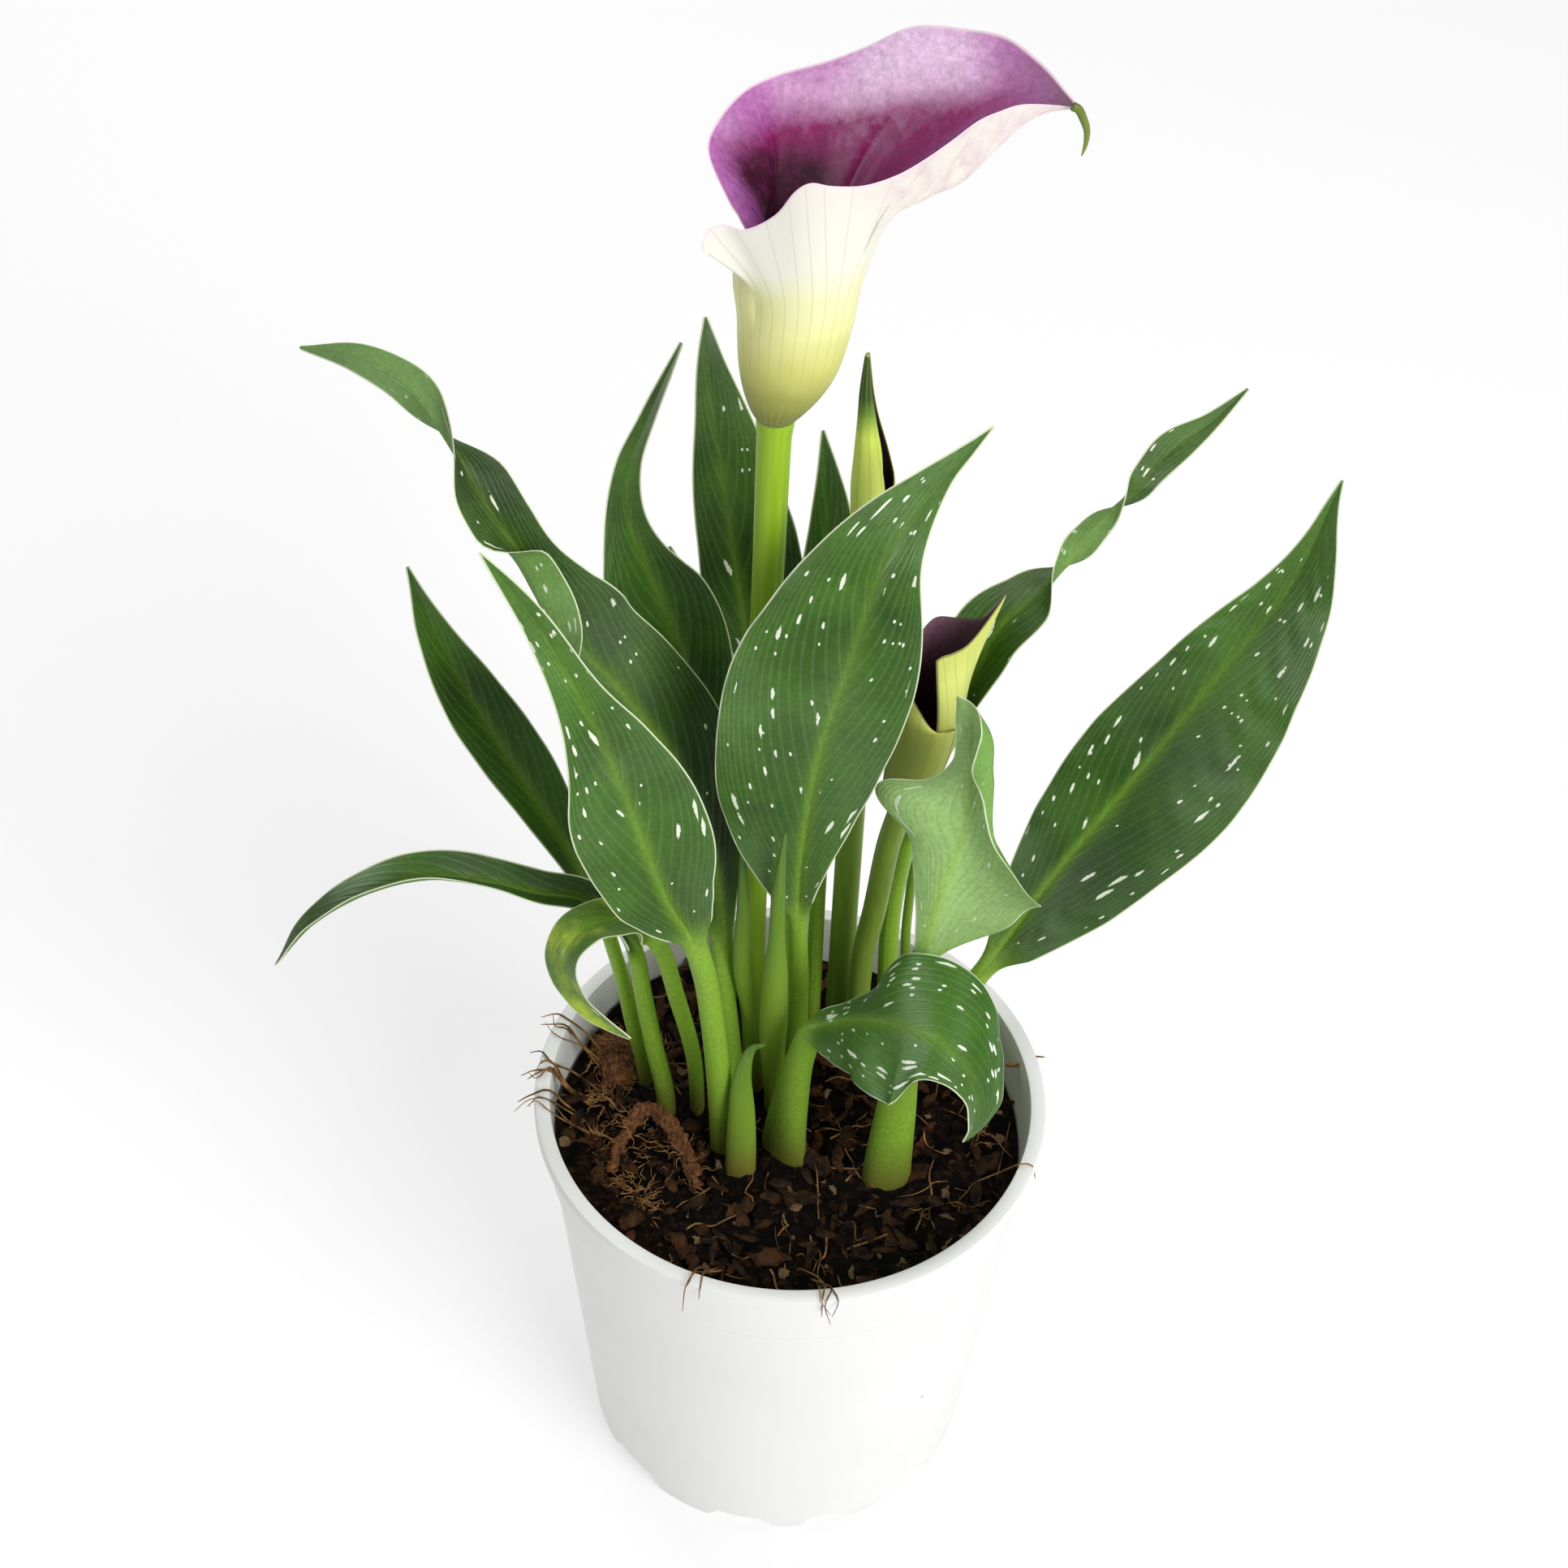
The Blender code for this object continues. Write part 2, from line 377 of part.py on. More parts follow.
def leaf_rings(leaf, columns, stalk_rings, blade_rings):
    """Rings of points from the foot of the stalk to the tip, each upper side first, then underside."""
    spine = Spine(leaf["spine"])
    start = spine.distance_of(leaf["blade"])
    blade = spine.length - start
    places = [start * i / stalk_rings for i in range(stalk_rings)]
    places += [start + blade * i / (blade_rings - 1) for i in range(blade_rings)]
    foot_half, top_half, foot_depth = leaf["stalk"]
    rings = []
    for place in places:
        way = max((place - start) / blade, 0.0)
        heading = spine.heading(place)
        x, y, z, turn = read_rows(leaf["face"], way)
        face = Vector((x, y, z))
        face = (face - heading * face.dot(heading)).normalized()
        side = heading.cross(face)
        turn = math.radians(turn)
        face, side = (face * math.cos(turn) + side * math.sin(turn),
                      side * math.cos(turn) - face * math.sin(turn))
        width, form = read_rows(leaf["width"], way), read_rows(leaf["form"], way)
        up_stalk = ease(place / start)
        half = foot_half + (top_half - foot_half) * up_stalk
        depth = half * (foot_depth + (1 - foot_depth) * up_stalk)
        spread = ease((place - start) / (0.10 * blade))
        rib = (top_half * (1 - way) ** 1.3 * 0.55 + 0.15, max(1.6 * top_half * (1 - 0.6 * way), 0.8))
        upper, lower = [], []
        for k, column in enumerate(columns):
            angle = math.pi * (1 - (k + 0.5) / len(columns))
            round_x, round_y = half * math.cos(angle), depth * math.sin(angle)
            sign = -1 if column < 0 else 1
            top, bottom = blade_half(way, sign, abs(column), width, form, leaf, rib)
            upper.append((round_x + (top[0] - round_x) * spread, round_y + (top[1] - round_y) * spread))
            lower.append((round_x + (bottom[0] - round_x) * spread,
                          -round_y + (bottom[1] + round_y) * spread))
        middle = spine.at(place)
        rings.append([(middle + side * a + face * b) * MM for a, b in upper + lower[::-1]])
    return rings


def tube_rings(spine_points, halves, depth, sides, count):
    """Rings of a stalk whose half width is read from rows along its length."""
    spine = Spine(spine_points)
    rings = []
    for i in range(count):
        way = i / (count - 1)
        heading = spine.heading(way * spine.length)
        face = Vector((0, -0.9, 0.4))
        face = (face - heading * face.dot(heading)).normalized()
        side = heading.cross(face)
        half = read_rows(halves, way)[0]
        middle = spine.at(way * spine.length)
        ring = []
        for k in range(sides):
            angle = math.pi * (1 - 2 * (k + 0.5) / sides)
            ring.append((middle + side * half * math.cos(angle)
                         + face * half * depth * math.sin(angle)) * MM)
        rings.append(ring)
    return rings


def compass(direction):
    """The level direction at an angle from the front, positive to the right."""
    return Vector((math.sin(math.radians(direction)), -math.cos(math.radians(direction)), 0))


def bloom_rings(bloom):
    """Rings of an open bloom: up the stem and the outside, over the rim and down the inside."""
    directions = [row[0] for row in bloom["rim"]]
    count = len(directions)
    stem = Spine(bloom["stem"])
    low, high = bloom["stem_radius"]
    rings = []
    for i in range(6):
        way = i / 5
        middle = stem.at(way * stem.length)
        radius = low + (high - low) * way
        rings.append([(middle + compass(d) * radius) for d in directions])
    wall = len(bloom["tube"])
    lines = []
    for k, row in enumerate(bloom["rim"]):
        line = [middle + compass(row[0]) * high]
        line += [Vector(t[:3]) + compass(row[0]) * t[3] for t in bloom["tube"]]
        line += [Vector(point) for point in bloom["limb"].get(row[0], [])]
        line.append(Vector(row[1:4]))
        lines.append(Spine(line))
    middle_wall = [[line.at(line.distance_of(number)) for line in lines] for number in range(1, wall + 1)]
    for part in (0.25, 0.5, 0.75, 0.86, 1.0):
        ring = []
        for line in lines:
            throat = line.distance_of(wall)
            ring.append(line.at(throat + (line.length - throat) * part))
        middle_wall.append(ring)
    thin = [SPATHE_THICKNESS] * (wall + 2) + [SPATHE_THICKNESS * 0.85] * 2 + [SPATHE_THICKNESS * 0.7]
    facing = []
    for low_ring, high_ring in zip(middle_wall, middle_wall[1:]):
        facing.append([(high_ring[k] - low_ring[(k + 1) % count]).cross(
            high_ring[(k + 1) % count] - low_ring[k]).normalized() for k in range(count)])
    outer, inner = [], []
    for i, ring in enumerate(middle_wall):
        near = facing[max(i - 1, 0):i + 1]
        out_ring, in_ring = [], []
        for k in range(count):
            outward = sum((row[k] + row[k - 1] for row in near), Vector()).normalized()
            out_ring.append(ring[k] + outward * thin[i] / 2)
            in_ring.append(ring[k] - outward * thin[i] / 2)
        outer.append(out_ring)
        inner.append(in_ring)
    rings += outer
    rings += [ring for ring in inner[::-1] if ring[0].z > bloom["cavity_floor"]]
    heart = Vector(bloom["tube"][1][:3])
    if bloom["spadix"]:
        radius, top = bloom["spadix"]
        throat = Vector(bloom["tube"][-1][:3])
        rings.append([heart + compass(d) * (radius + 1.0) for d in directions])
        for part, wide in ((0.1, 1.0), (0.5, 1.0), (0.85, 0.8), (1.0, 0.25)):
            level = heart.z + (top - heart.z) * part
            middle = heart.lerp(throat, (level - heart.z) / (throat.z - heart.z))
            rings.append([middle + compass(d) * radius * wide for d in directions])
    return [[point * MM for point in ring] for ring in rings]


def skin(name, rings, material, collection):
    """Close rings of points into one solid, with a cap at each end."""
    mesh_data = bmesh.new()
    made = [[mesh_data.verts.new(point) for point in ring] for ring in rings]
    count = len(rings[0])
    for low, high in zip(made, made[1:]):
        for k in range(count):
            n = (k + 1) % count
            # The two faces of a blade get the same diagonals, seen through it
            if k < count // 2:
                mesh_data.faces.new((low[k], low[n], high[n]))
                mesh_data.faces.new((low[k], high[n], high[k]))
            else:
                mesh_data.faces.new((low[k], low[n], high[k]))
                mesh_data.faces.new((low[n], high[n], high[k]))
    mesh_data.faces.new(made[0][::-1])
    mesh_data.faces.new(made[-1])
    bmesh.ops.recalc_face_normals(mesh_data, faces=mesh_data.faces)
    bmesh.ops.triangulate(mesh_data, faces=[f for f in mesh_data.faces if len(f.verts) > 4])
    mesh = bpy.data.meshes.new(name)
    mesh_data.to_mesh(mesh)
    mesh_data.free()
    return add_object(name, mesh, material, collection)


def add_object(name, mesh, material, collection):
    obj = bpy.data.objects.new(name, mesh)
    collection.objects.link(obj)
    if material:
        mesh.materials.append(material)
    return obj


def add_material(name, hex_colour, roughness):
    """A Principled material from an sRGB hex colour."""
    def linear(value):
        return value / 12.92 if value <= 0.04045 else ((value + 0.055) / 1.055) ** 2.4

    colour = [linear(int(hex_colour[i:i + 2], 16) / 255) for i in (0, 2, 4)]
    material = bpy.data.materials.new(name)
    material.use_nodes = True
    shader = material.node_tree.nodes["Principled BSDF"]
    shader.inputs["Base Color"].default_value = (*colour, 1)
    shader.inputs["Roughness"].default_value = roughness
    shader.inputs["Metallic"].default_value = 0.0
    material.diffuse_color = (*colour, 1)
    return material


def cut(obj, cutter):
    boolean = obj.modifiers.new("cut_" + cutter.name, "BOOLEAN")
    boolean.operation = "DIFFERENCE"
    boolean.solver = "EXACT"
    boolean.object = cutter


def add_cutter(name, fill, collection):
    """A hidden cutter whose mesh is filled in by a function."""
    mesh_data = bmesh.new()
    fill(mesh_data)
    mesh = bpy.data.meshes.new(name)
    mesh_data.to_mesh(mesh)
    mesh_data.free()
    cutter = add_object(name, mesh, None, collection)
    cutter.hide_render = True
    cutter.display_type = "WIRE"
    return cutter


def build_pot(material, collection, cutters):
    """The turned pot, then its foot notches and drain holes."""
    taper = (RIM_RADIUS - 4 - BASE_RADIUS) / COLLAR_BOTTOM
    inner_top = RIM_RADIUS - 4.2
    inner_low = BASE_RADIUS + taper * FLOOR_TOP - WALL
    profile = [
        (0, FLOOR_TOP), (inner_low, FLOOR_TOP), (inner_top - 1.4, COLLAR_BOTTOM),
        (inner_top, POT_HEIGHT - 8), (inner_top + 0.2, POT_HEIGHT - 0.4), (inner_top + 0.8, POT_HEIGHT),
        (RIM_RADIUS - 0.9, POT_HEIGHT), (RIM_RADIUS, POT_HEIGHT - 0.9), (RIM_RADIUS, POT_HEIGHT - 3.4),
        (RIM_RADIUS - 0.8, POT_HEIGHT - 4.4), (RIM_RADIUS - 2.3, POT_HEIGHT - 4.8),
        (RIM_RADIUS - 3.1, COLLAR_BOTTOM + 1), (RIM_RADIUS - 4, COLLAR_BOTTOM - 0.6),
        (BASE_RADIUS, 0), (BASE_RADIUS - WALL, 0), (BASE_RADIUS - WALL + 0.3, FLOOR_BOTTOM),
        (0, FLOOR_BOTTOM)]
    mesh = bpy.data.meshes.new("pot")
    points = [(r * MM, 0, z * MM) for r, z in profile]
    mesh.from_pydata(points, [(i, i + 1) for i in range(len(points) - 1)], [])
    pot = add_object("pot", mesh, material, collection)
    turn = pot.modifiers.new("turn", "SCREW")
    turn.steps = turn.render_steps = 48
    turn.use_merge_vertices = True
    turn.merge_threshold = 0.00001
    turn.use_smooth_shade = True

    def fill_notches(mesh_data):
        for direction, width in FOOT_NOTCHES:
            chord = 2 * BASE_RADIUS * math.sin(math.radians(width / 2))
            middle = compass(direction) * (BASE_RADIUS - 1)
            place = (Matrix.Translation((middle + Vector((0, 0, FOOT_NOTCH_HEIGHT / 2 - 1))) * MM)
                     @ Matrix.Rotation(math.radians(direction), 4, "Z")
                     @ Matrix.Diagonal((chord * MM, 9 * MM, (FOOT_NOTCH_HEIGHT + 2) * MM, 1)))
            bmesh.ops.create_cube(mesh_data, size=1, matrix=place)

    def fill_drains(mesh_data):
        for i in range(DRAIN_HOLES):
            middle = compass(360 * i / DRAIN_HOLES) * DRAIN_RING_RADIUS
            place = Matrix.Translation((middle + Vector((0, 0, FLOOR_TOP - 1))) * MM)
            bmesh.ops.create_cone(mesh_data, cap_ends=True, segments=16, depth=8 * MM, matrix=place,
                                  radius1=DRAIN_HOLE_RADIUS * MM, radius2=DRAIN_HOLE_RADIUS * MM)

    cut(pot, add_cutter("foot_notches", fill_notches, cutters))
    cut(pot, add_cutter("drain_holes", fill_drains, cutters))


def soil_height(x, y):
    """Level of the potting mix: a gentle relief, a bank on the left and hand-placed lumps."""
    radius = math.hypot(x, y)
    level = SOIL_LEVEL
    level += 0.7 * math.sin(0.23 * x + 1.1) * math.cos(0.27 * y - 0.4)
    level += 0.5 * math.sin(0.41 * x - 0.33 * y) * ease(radius / 30)
    bank = ease((radius - 40) / 16) * ease((-x - 20) / 22)
    level += 6.5 * bank
    level -= 2.5 * ease((radius - 46) / 12) * ease((30 - y) / 30) * ease((x + 20) / 30)
    for lump_x, lump_y, size, high in ((-6, -25, 6, 2.8), (30, -34, 6, 1.6), (12, -36, 5, 1.8),
                                       (44, -12, 5, 2.2), (-20, -42, 7, 2.0), (46, 6, 6, 1.8)):
        far = math.hypot(x - lump_x, y - lump_y) / size
        level += high * (1 - ease(far))
    for seat_x, seat_y, size, seat_level in SEATS:
        share = 1 - ease((math.hypot(x - seat_x, y - seat_y) - size) / 5)
        level = level * (1 - share) + seat_level * share
    return level


def build_soil(material, collection, cutters, feet):
    """The potting mix as one solid with its relief, and a plain hole round every stem."""
    mesh_data = bmesh.new()
    sides, reaches = 48, [5, 10, 15, 20, 25, 30, 35, 40, 45, 50, 55, SOIL_RADIUS]
    middle = mesh_data.verts.new(Vector((0, 0, soil_height(0, 0))) * MM)
    rings = []
    for reach in reaches:
        ring = []
        for k in range(sides):
            flat = compass(360 * k / sides) * reach
            ring.append(mesh_data.verts.new(Vector((flat.x, flat.y, soil_height(flat.x, flat.y))) * MM))
        rings.append(ring)
    floor = FLOOR_TOP + TOUCH_GAP
    taper = (RIM_RADIUS - 4 - BASE_RADIUS) / COLLAR_BOTTOM
    low_radius = BASE_RADIUS + taper * floor - WALL - TOUCH_GAP - 0.5
    for reach, level in ((SOIL_RADIUS - 0.3, 101.0), (low_radius, floor)):
        ring = [mesh_data.verts.new((compass(360 * k / sides) * reach + Vector((0, 0, level))) * MM)
                for k in range(sides)]
        rings.append(ring)
    for k in range(sides):
        mesh_data.faces.new((middle, rings[0][k], rings[0][(k + 1) % sides]))
    for low, high in zip(rings, rings[1:]):
        for k in range(sides):
            n = (k + 1) % sides
            mesh_data.faces.new((low[k], high[k], high[n]))
            mesh_data.faces.new((low[k], high[n], low[n]))
    mesh_data.faces.new(rings[-1])
    bmesh.ops.recalc_face_normals(mesh_data, faces=mesh_data.faces)
    mesh = bpy.data.meshes.new("soil")
    mesh_data.to_mesh(mesh)
    mesh_data.free()
    soil = add_object("soil", mesh, material, collection)

    def fill_holes(mesh_data):
        for x, y, half, depth, turn in feet:
            top, bottom = 126.0, STEM_FOOT - TOUCH_GAP
            grow = TOUCH_GAP + 0.3
            place = (Matrix.Translation(Vector((x, y, (top + bottom) / 2)) * MM)
                     @ Matrix.Rotation(turn, 4, "Z")
                     @ Matrix.Diagonal(((half + grow) * MM, (depth + grow) * MM, (top - bottom) * MM, 1)))
            bmesh.ops.create_cone(mesh_data, cap_ends=True, segments=14, depth=1, matrix=place,
                                  radius1=1, radius2=1)

    cut(soil, add_cutter("stem_holes", fill_holes, cutters))


def stem_feet():
    """Place, half width, depth and turn of every stem where it stands in the mix."""
    feet = []
    for leaf in LEAVES.values():
        x, y, z = leaf["spine"][0]
        face = leaf["face"][0]
        side = Vector((0, 0, 1)).cross(Vector((face[1], face[2], 0)).normalized())
        half, top_half, depth = leaf["stalk"]
        feet.append((x, y, half, half * depth, math.atan2(side.y, side.x)))
    for shoot in SHOOTS.values():
        x, y, z = shoot["spine"][0]
        half = shoot["half"][0][1]
        feet.append((x, y, half, half * shoot["depth"], 0.0))
    for bloom in list(BLOOMS.values()) + [ROLLED_BLOOM]:
        x, y, z = bloom["stem"][0]
        feet.append((x, y, bloom["stem_radius"][0], bloom["stem_radius"][0], 0.0))
    return feet


def build_chunk(material, collection):
    """The fuzzy piece of husk on the left, lying flat on its seat."""
    x, y, size, level = SEATS[0]
    rings = []
    for share, high in ((0.55, 0.0), (1.0, 0.6), (1.08, 2.2), (0.9, 4.2), (0.6, 5.6), (0.25, 6.3)):
        ring = []
        for k in range(12):
            angle = 2 * math.pi * k / 12
            bump = 1 + 0.10 * math.sin(3 * angle + 0.6) + 0.06 * math.sin(5 * angle)
            across = 5.6 * share * bump * math.cos(angle)
            along = 9.0 * share * bump * math.sin(angle)
            lean = math.radians(12)
            ring.append(Vector((x + across * math.cos(lean) - along * math.sin(lean),
                                y + across * math.sin(lean) + along * math.cos(lean),
                                level + TOUCH_GAP + high)) * MM)
        rings.append(ring)
    skin("coir_chunk", rings, material, collection)


def build_arch(material, collection):
    """The strip of husk bent to a steep arch, both feet on their seat."""
    level = SEATS[1][3] + TOUCH_GAP
    spine = [(-45, -18, level + 1.3), (-42, -10, level + 5), (-37, -4, level + 9),
             (-31, -7, level + 8.5), (-26, -14, level + 5), (-22.5, -22, level + 1.4)]
    rings = tube_rings(spine, [(0, 1.5), (0.3, 1.8), (0.5, 2.0), (0.75, 2.2), (1, 1.6)], 0.6, 8, 9)
    floor = level * MM
    for ring in rings:
        for point in ring:
            point.z = max(point.z, floor)
    skin("coir_arch", rings, material, collection)


def build_plant(materials, collection):
    """All leaves, shoots and blooms."""
    columns = (-1.0, -0.66, -0.3, 0.0, 0.3, 0.66, 1.0)
    for name, leaf in LEAVES.items():
        curled = name in ("leaf_tall_left", "leaf_twisted_right", "leaf_cupped_right")
        rings = leaf_rings(leaf, columns, 5, 22 if curled else 15)
        skin(name, rings, materials["leaf"], collection)
    for name, shoot in SHOOTS.items():
        rings = tube_rings(shoot["spine"], shoot["half"], shoot["depth"], 12, 12)
        skin(name, rings, materials["shoot"], collection)
    for name, bloom in BLOOMS.items():
        skin(name, bloom_rings(bloom), materials["bloom"], collection)
    low, high = ROLLED_BLOOM["stem_radius"]
    stem = Spine(ROLLED_BLOOM["stem"])
    rings = []
    for i in range(7):
        middle = stem.at(stem.length * i / 6)
        radius = low + (high - low) * i / 6
        rings.append([(middle + compass(30 * k) * radius) * MM for k in range(12)])
    for x, y, z, radius in ROLLED_BLOOM["bud"]:
        rings.append([(Vector((x, y, z)) + compass(30 * k) * radius) * MM for k in range(12)])
    skin("bloom_rolled", rings, materials["bud"], collection)


def main():
    for obj in list(bpy.data.objects):
        bpy.data.objects.remove(obj, do_unlink=True)
    collection = bpy.data.collections.new("potted_calla_lily")
    cutters = bpy.data.collections.new("cutters")
    bpy.context.scene.collection.children.link(collection)
    bpy.context.scene.collection.children.link(cutters)
    materials = {
        "pot": add_material("white_pot_plastic", "EFF0F0", 0.42),
        "soil": add_material("dark_potting_mix", "2B1C14", 0.95),
        "coir": add_material("brown_coir", "6A3F26", 0.95),
        "leaf": add_material("calla_leaf_green", "3F7A35", 0.48),
        "shoot": add_material("young_stalk_green", "86B23C", 0.45),
        "bloom": add_material("spathe_violet", "A45AA0", 0.5),
        "bud": add_material("bud_yellow_green", "B5C95A", 0.5),
    }
    build_pot(materials["pot"], collection, cutters)
    build_soil(materials["soil"], collection, cutters, stem_feet())
    build_chunk(materials["coir"], collection)
    build_arch(materials["coir"], collection)
    build_plant(materials, collection)


main()
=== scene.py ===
"""Potted calla lily, dressed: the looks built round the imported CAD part.

The plant's tables are the same real sizes as in the CAD source. Lengths in the tables are millimetres,
angles are degrees, and MM turns millimetres into Blender's metres. The pot stands on z = 0 with its axis
on the z axis, and the viewer of the photograph looks along +Y from above.
"""
import math

import bpy
import numpy as np
from mathutils import Matrix, Vector, noise


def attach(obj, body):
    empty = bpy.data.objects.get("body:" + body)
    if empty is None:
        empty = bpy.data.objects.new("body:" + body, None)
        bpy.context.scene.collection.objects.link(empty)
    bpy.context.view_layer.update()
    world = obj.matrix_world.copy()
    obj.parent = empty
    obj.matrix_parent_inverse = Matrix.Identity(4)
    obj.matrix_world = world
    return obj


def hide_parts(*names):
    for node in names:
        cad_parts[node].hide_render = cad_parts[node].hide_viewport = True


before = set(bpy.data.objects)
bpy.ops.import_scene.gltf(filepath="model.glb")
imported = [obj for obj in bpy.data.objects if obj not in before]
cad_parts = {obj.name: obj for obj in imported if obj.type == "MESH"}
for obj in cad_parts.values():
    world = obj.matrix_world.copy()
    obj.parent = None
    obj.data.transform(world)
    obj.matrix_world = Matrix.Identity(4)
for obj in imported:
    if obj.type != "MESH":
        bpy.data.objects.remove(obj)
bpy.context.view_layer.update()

bl_info = {
    "name": "Potted Calla Lily",
    "version": (1, 0, 0),
    "blender": (4, 5, 0),
    "location": "View3D > Sidebar > Calla Lily",
    "description": "Builds the pot, the potting mix, the leaves and the blooms of a potted calla lily",
    "category": "Object",
}

MM = 0.001

# The pot, a 13 cm nursery pot
RIM_RADIUS = 65.0
POT_HEIGHT = 122.0
BASE_RADIUS = 52.5
WALL = 1.8
COLLAR_BOTTOM = 102.0
FLOOR_TOP = 7.0
FLOOR_BOTTOM = 5.0
FOOT_NOTCH_HEIGHT = 4.6
# How far the wall leans out for each millimetre up
WALL_LEAN = (RIM_RADIUS - 4 - BASE_RADIUS) / COLLAR_BOTTOM
# Notches in the foot: direction from the front, positive to the right, and width, both in degrees
FOOT_NOTCHES = [(-47, 20), (-9.5, 20), (15.5, 14), (42, 17), (97, 20), (132, 18), (163, 16),
                (196, 20), (232, 18), (268, 20)]
DRAIN_HOLES = 6
DRAIN_HOLE_RADIUS = 4.0
DRAIN_RING_RADIUS = 32.0

# The potting mix
SOIL_LEVEL = 107.0
SOIL_RADIUS = 59.3
TOUCH_GAP = 0.3
# Seats for the bits that lie on the mix: middle x, y, radius and level
SEATS = [(-46, 18, 13, 108.5), (-34, -12, 15, 107.0)]
# Lumps of the mix: middle x, y, radius and height
LUMPS = [(-6, -25, 6, 2.8), (30, -34, 6, 1.6), (12, -36, 5, 1.8), (44, -12, 5, 2.2),
         (-20, -42, 7, 2.0), (46, 6, 6, 1.8)]
# The outline of the piece of husk from its underside over its top: share of its width, height
CHUNK_ROWS = [(0.2, 0.0), (0.55, 0.0), (1.0, 0.6), (1.06, 1.4), (1.08, 2.2), (1.0, 3.3),
              (0.9, 4.2), (0.75, 5.0), (0.6, 5.6), (0.42, 6.0), (0.25, 6.3), (0.08, 6.35)]
# Half its width and half its length, and how far its length turns from the y axis in degrees
CHUNK_HALVES = (5.6, 9.0)
CHUNK_LEAN = 12
# How far loose flakes and fibres keep from the foot of a stalk, and the level of loose hairs
FLAKE_CLEAR = 6.5
FIBRE_CLEAR = 5.0
HAIR_LEVEL = 108.6
# Loose hairs on the husk and beside it: middle x, y, how high they heap up, and how many
HAIR_HEAPS = [(-46, 18, 6.5, 110), (-40, -8, 6.5, 40), (-26, -15, 4.5, 25), (-47, 2, 3.0, 60),
              (-38, -26, 1.5, 60), (-50, -12, 2.0, 50), (-34, 20, 1.5, 30)]
# Wisps that hang out over the rim: direction in degrees from +X towards +Y, and how many
RIM_WISPS = [(163, 4), (176, 5), (186, 4), (249, 3), (281, 4), (340, 1)]
DEBRIS_SEED = 11

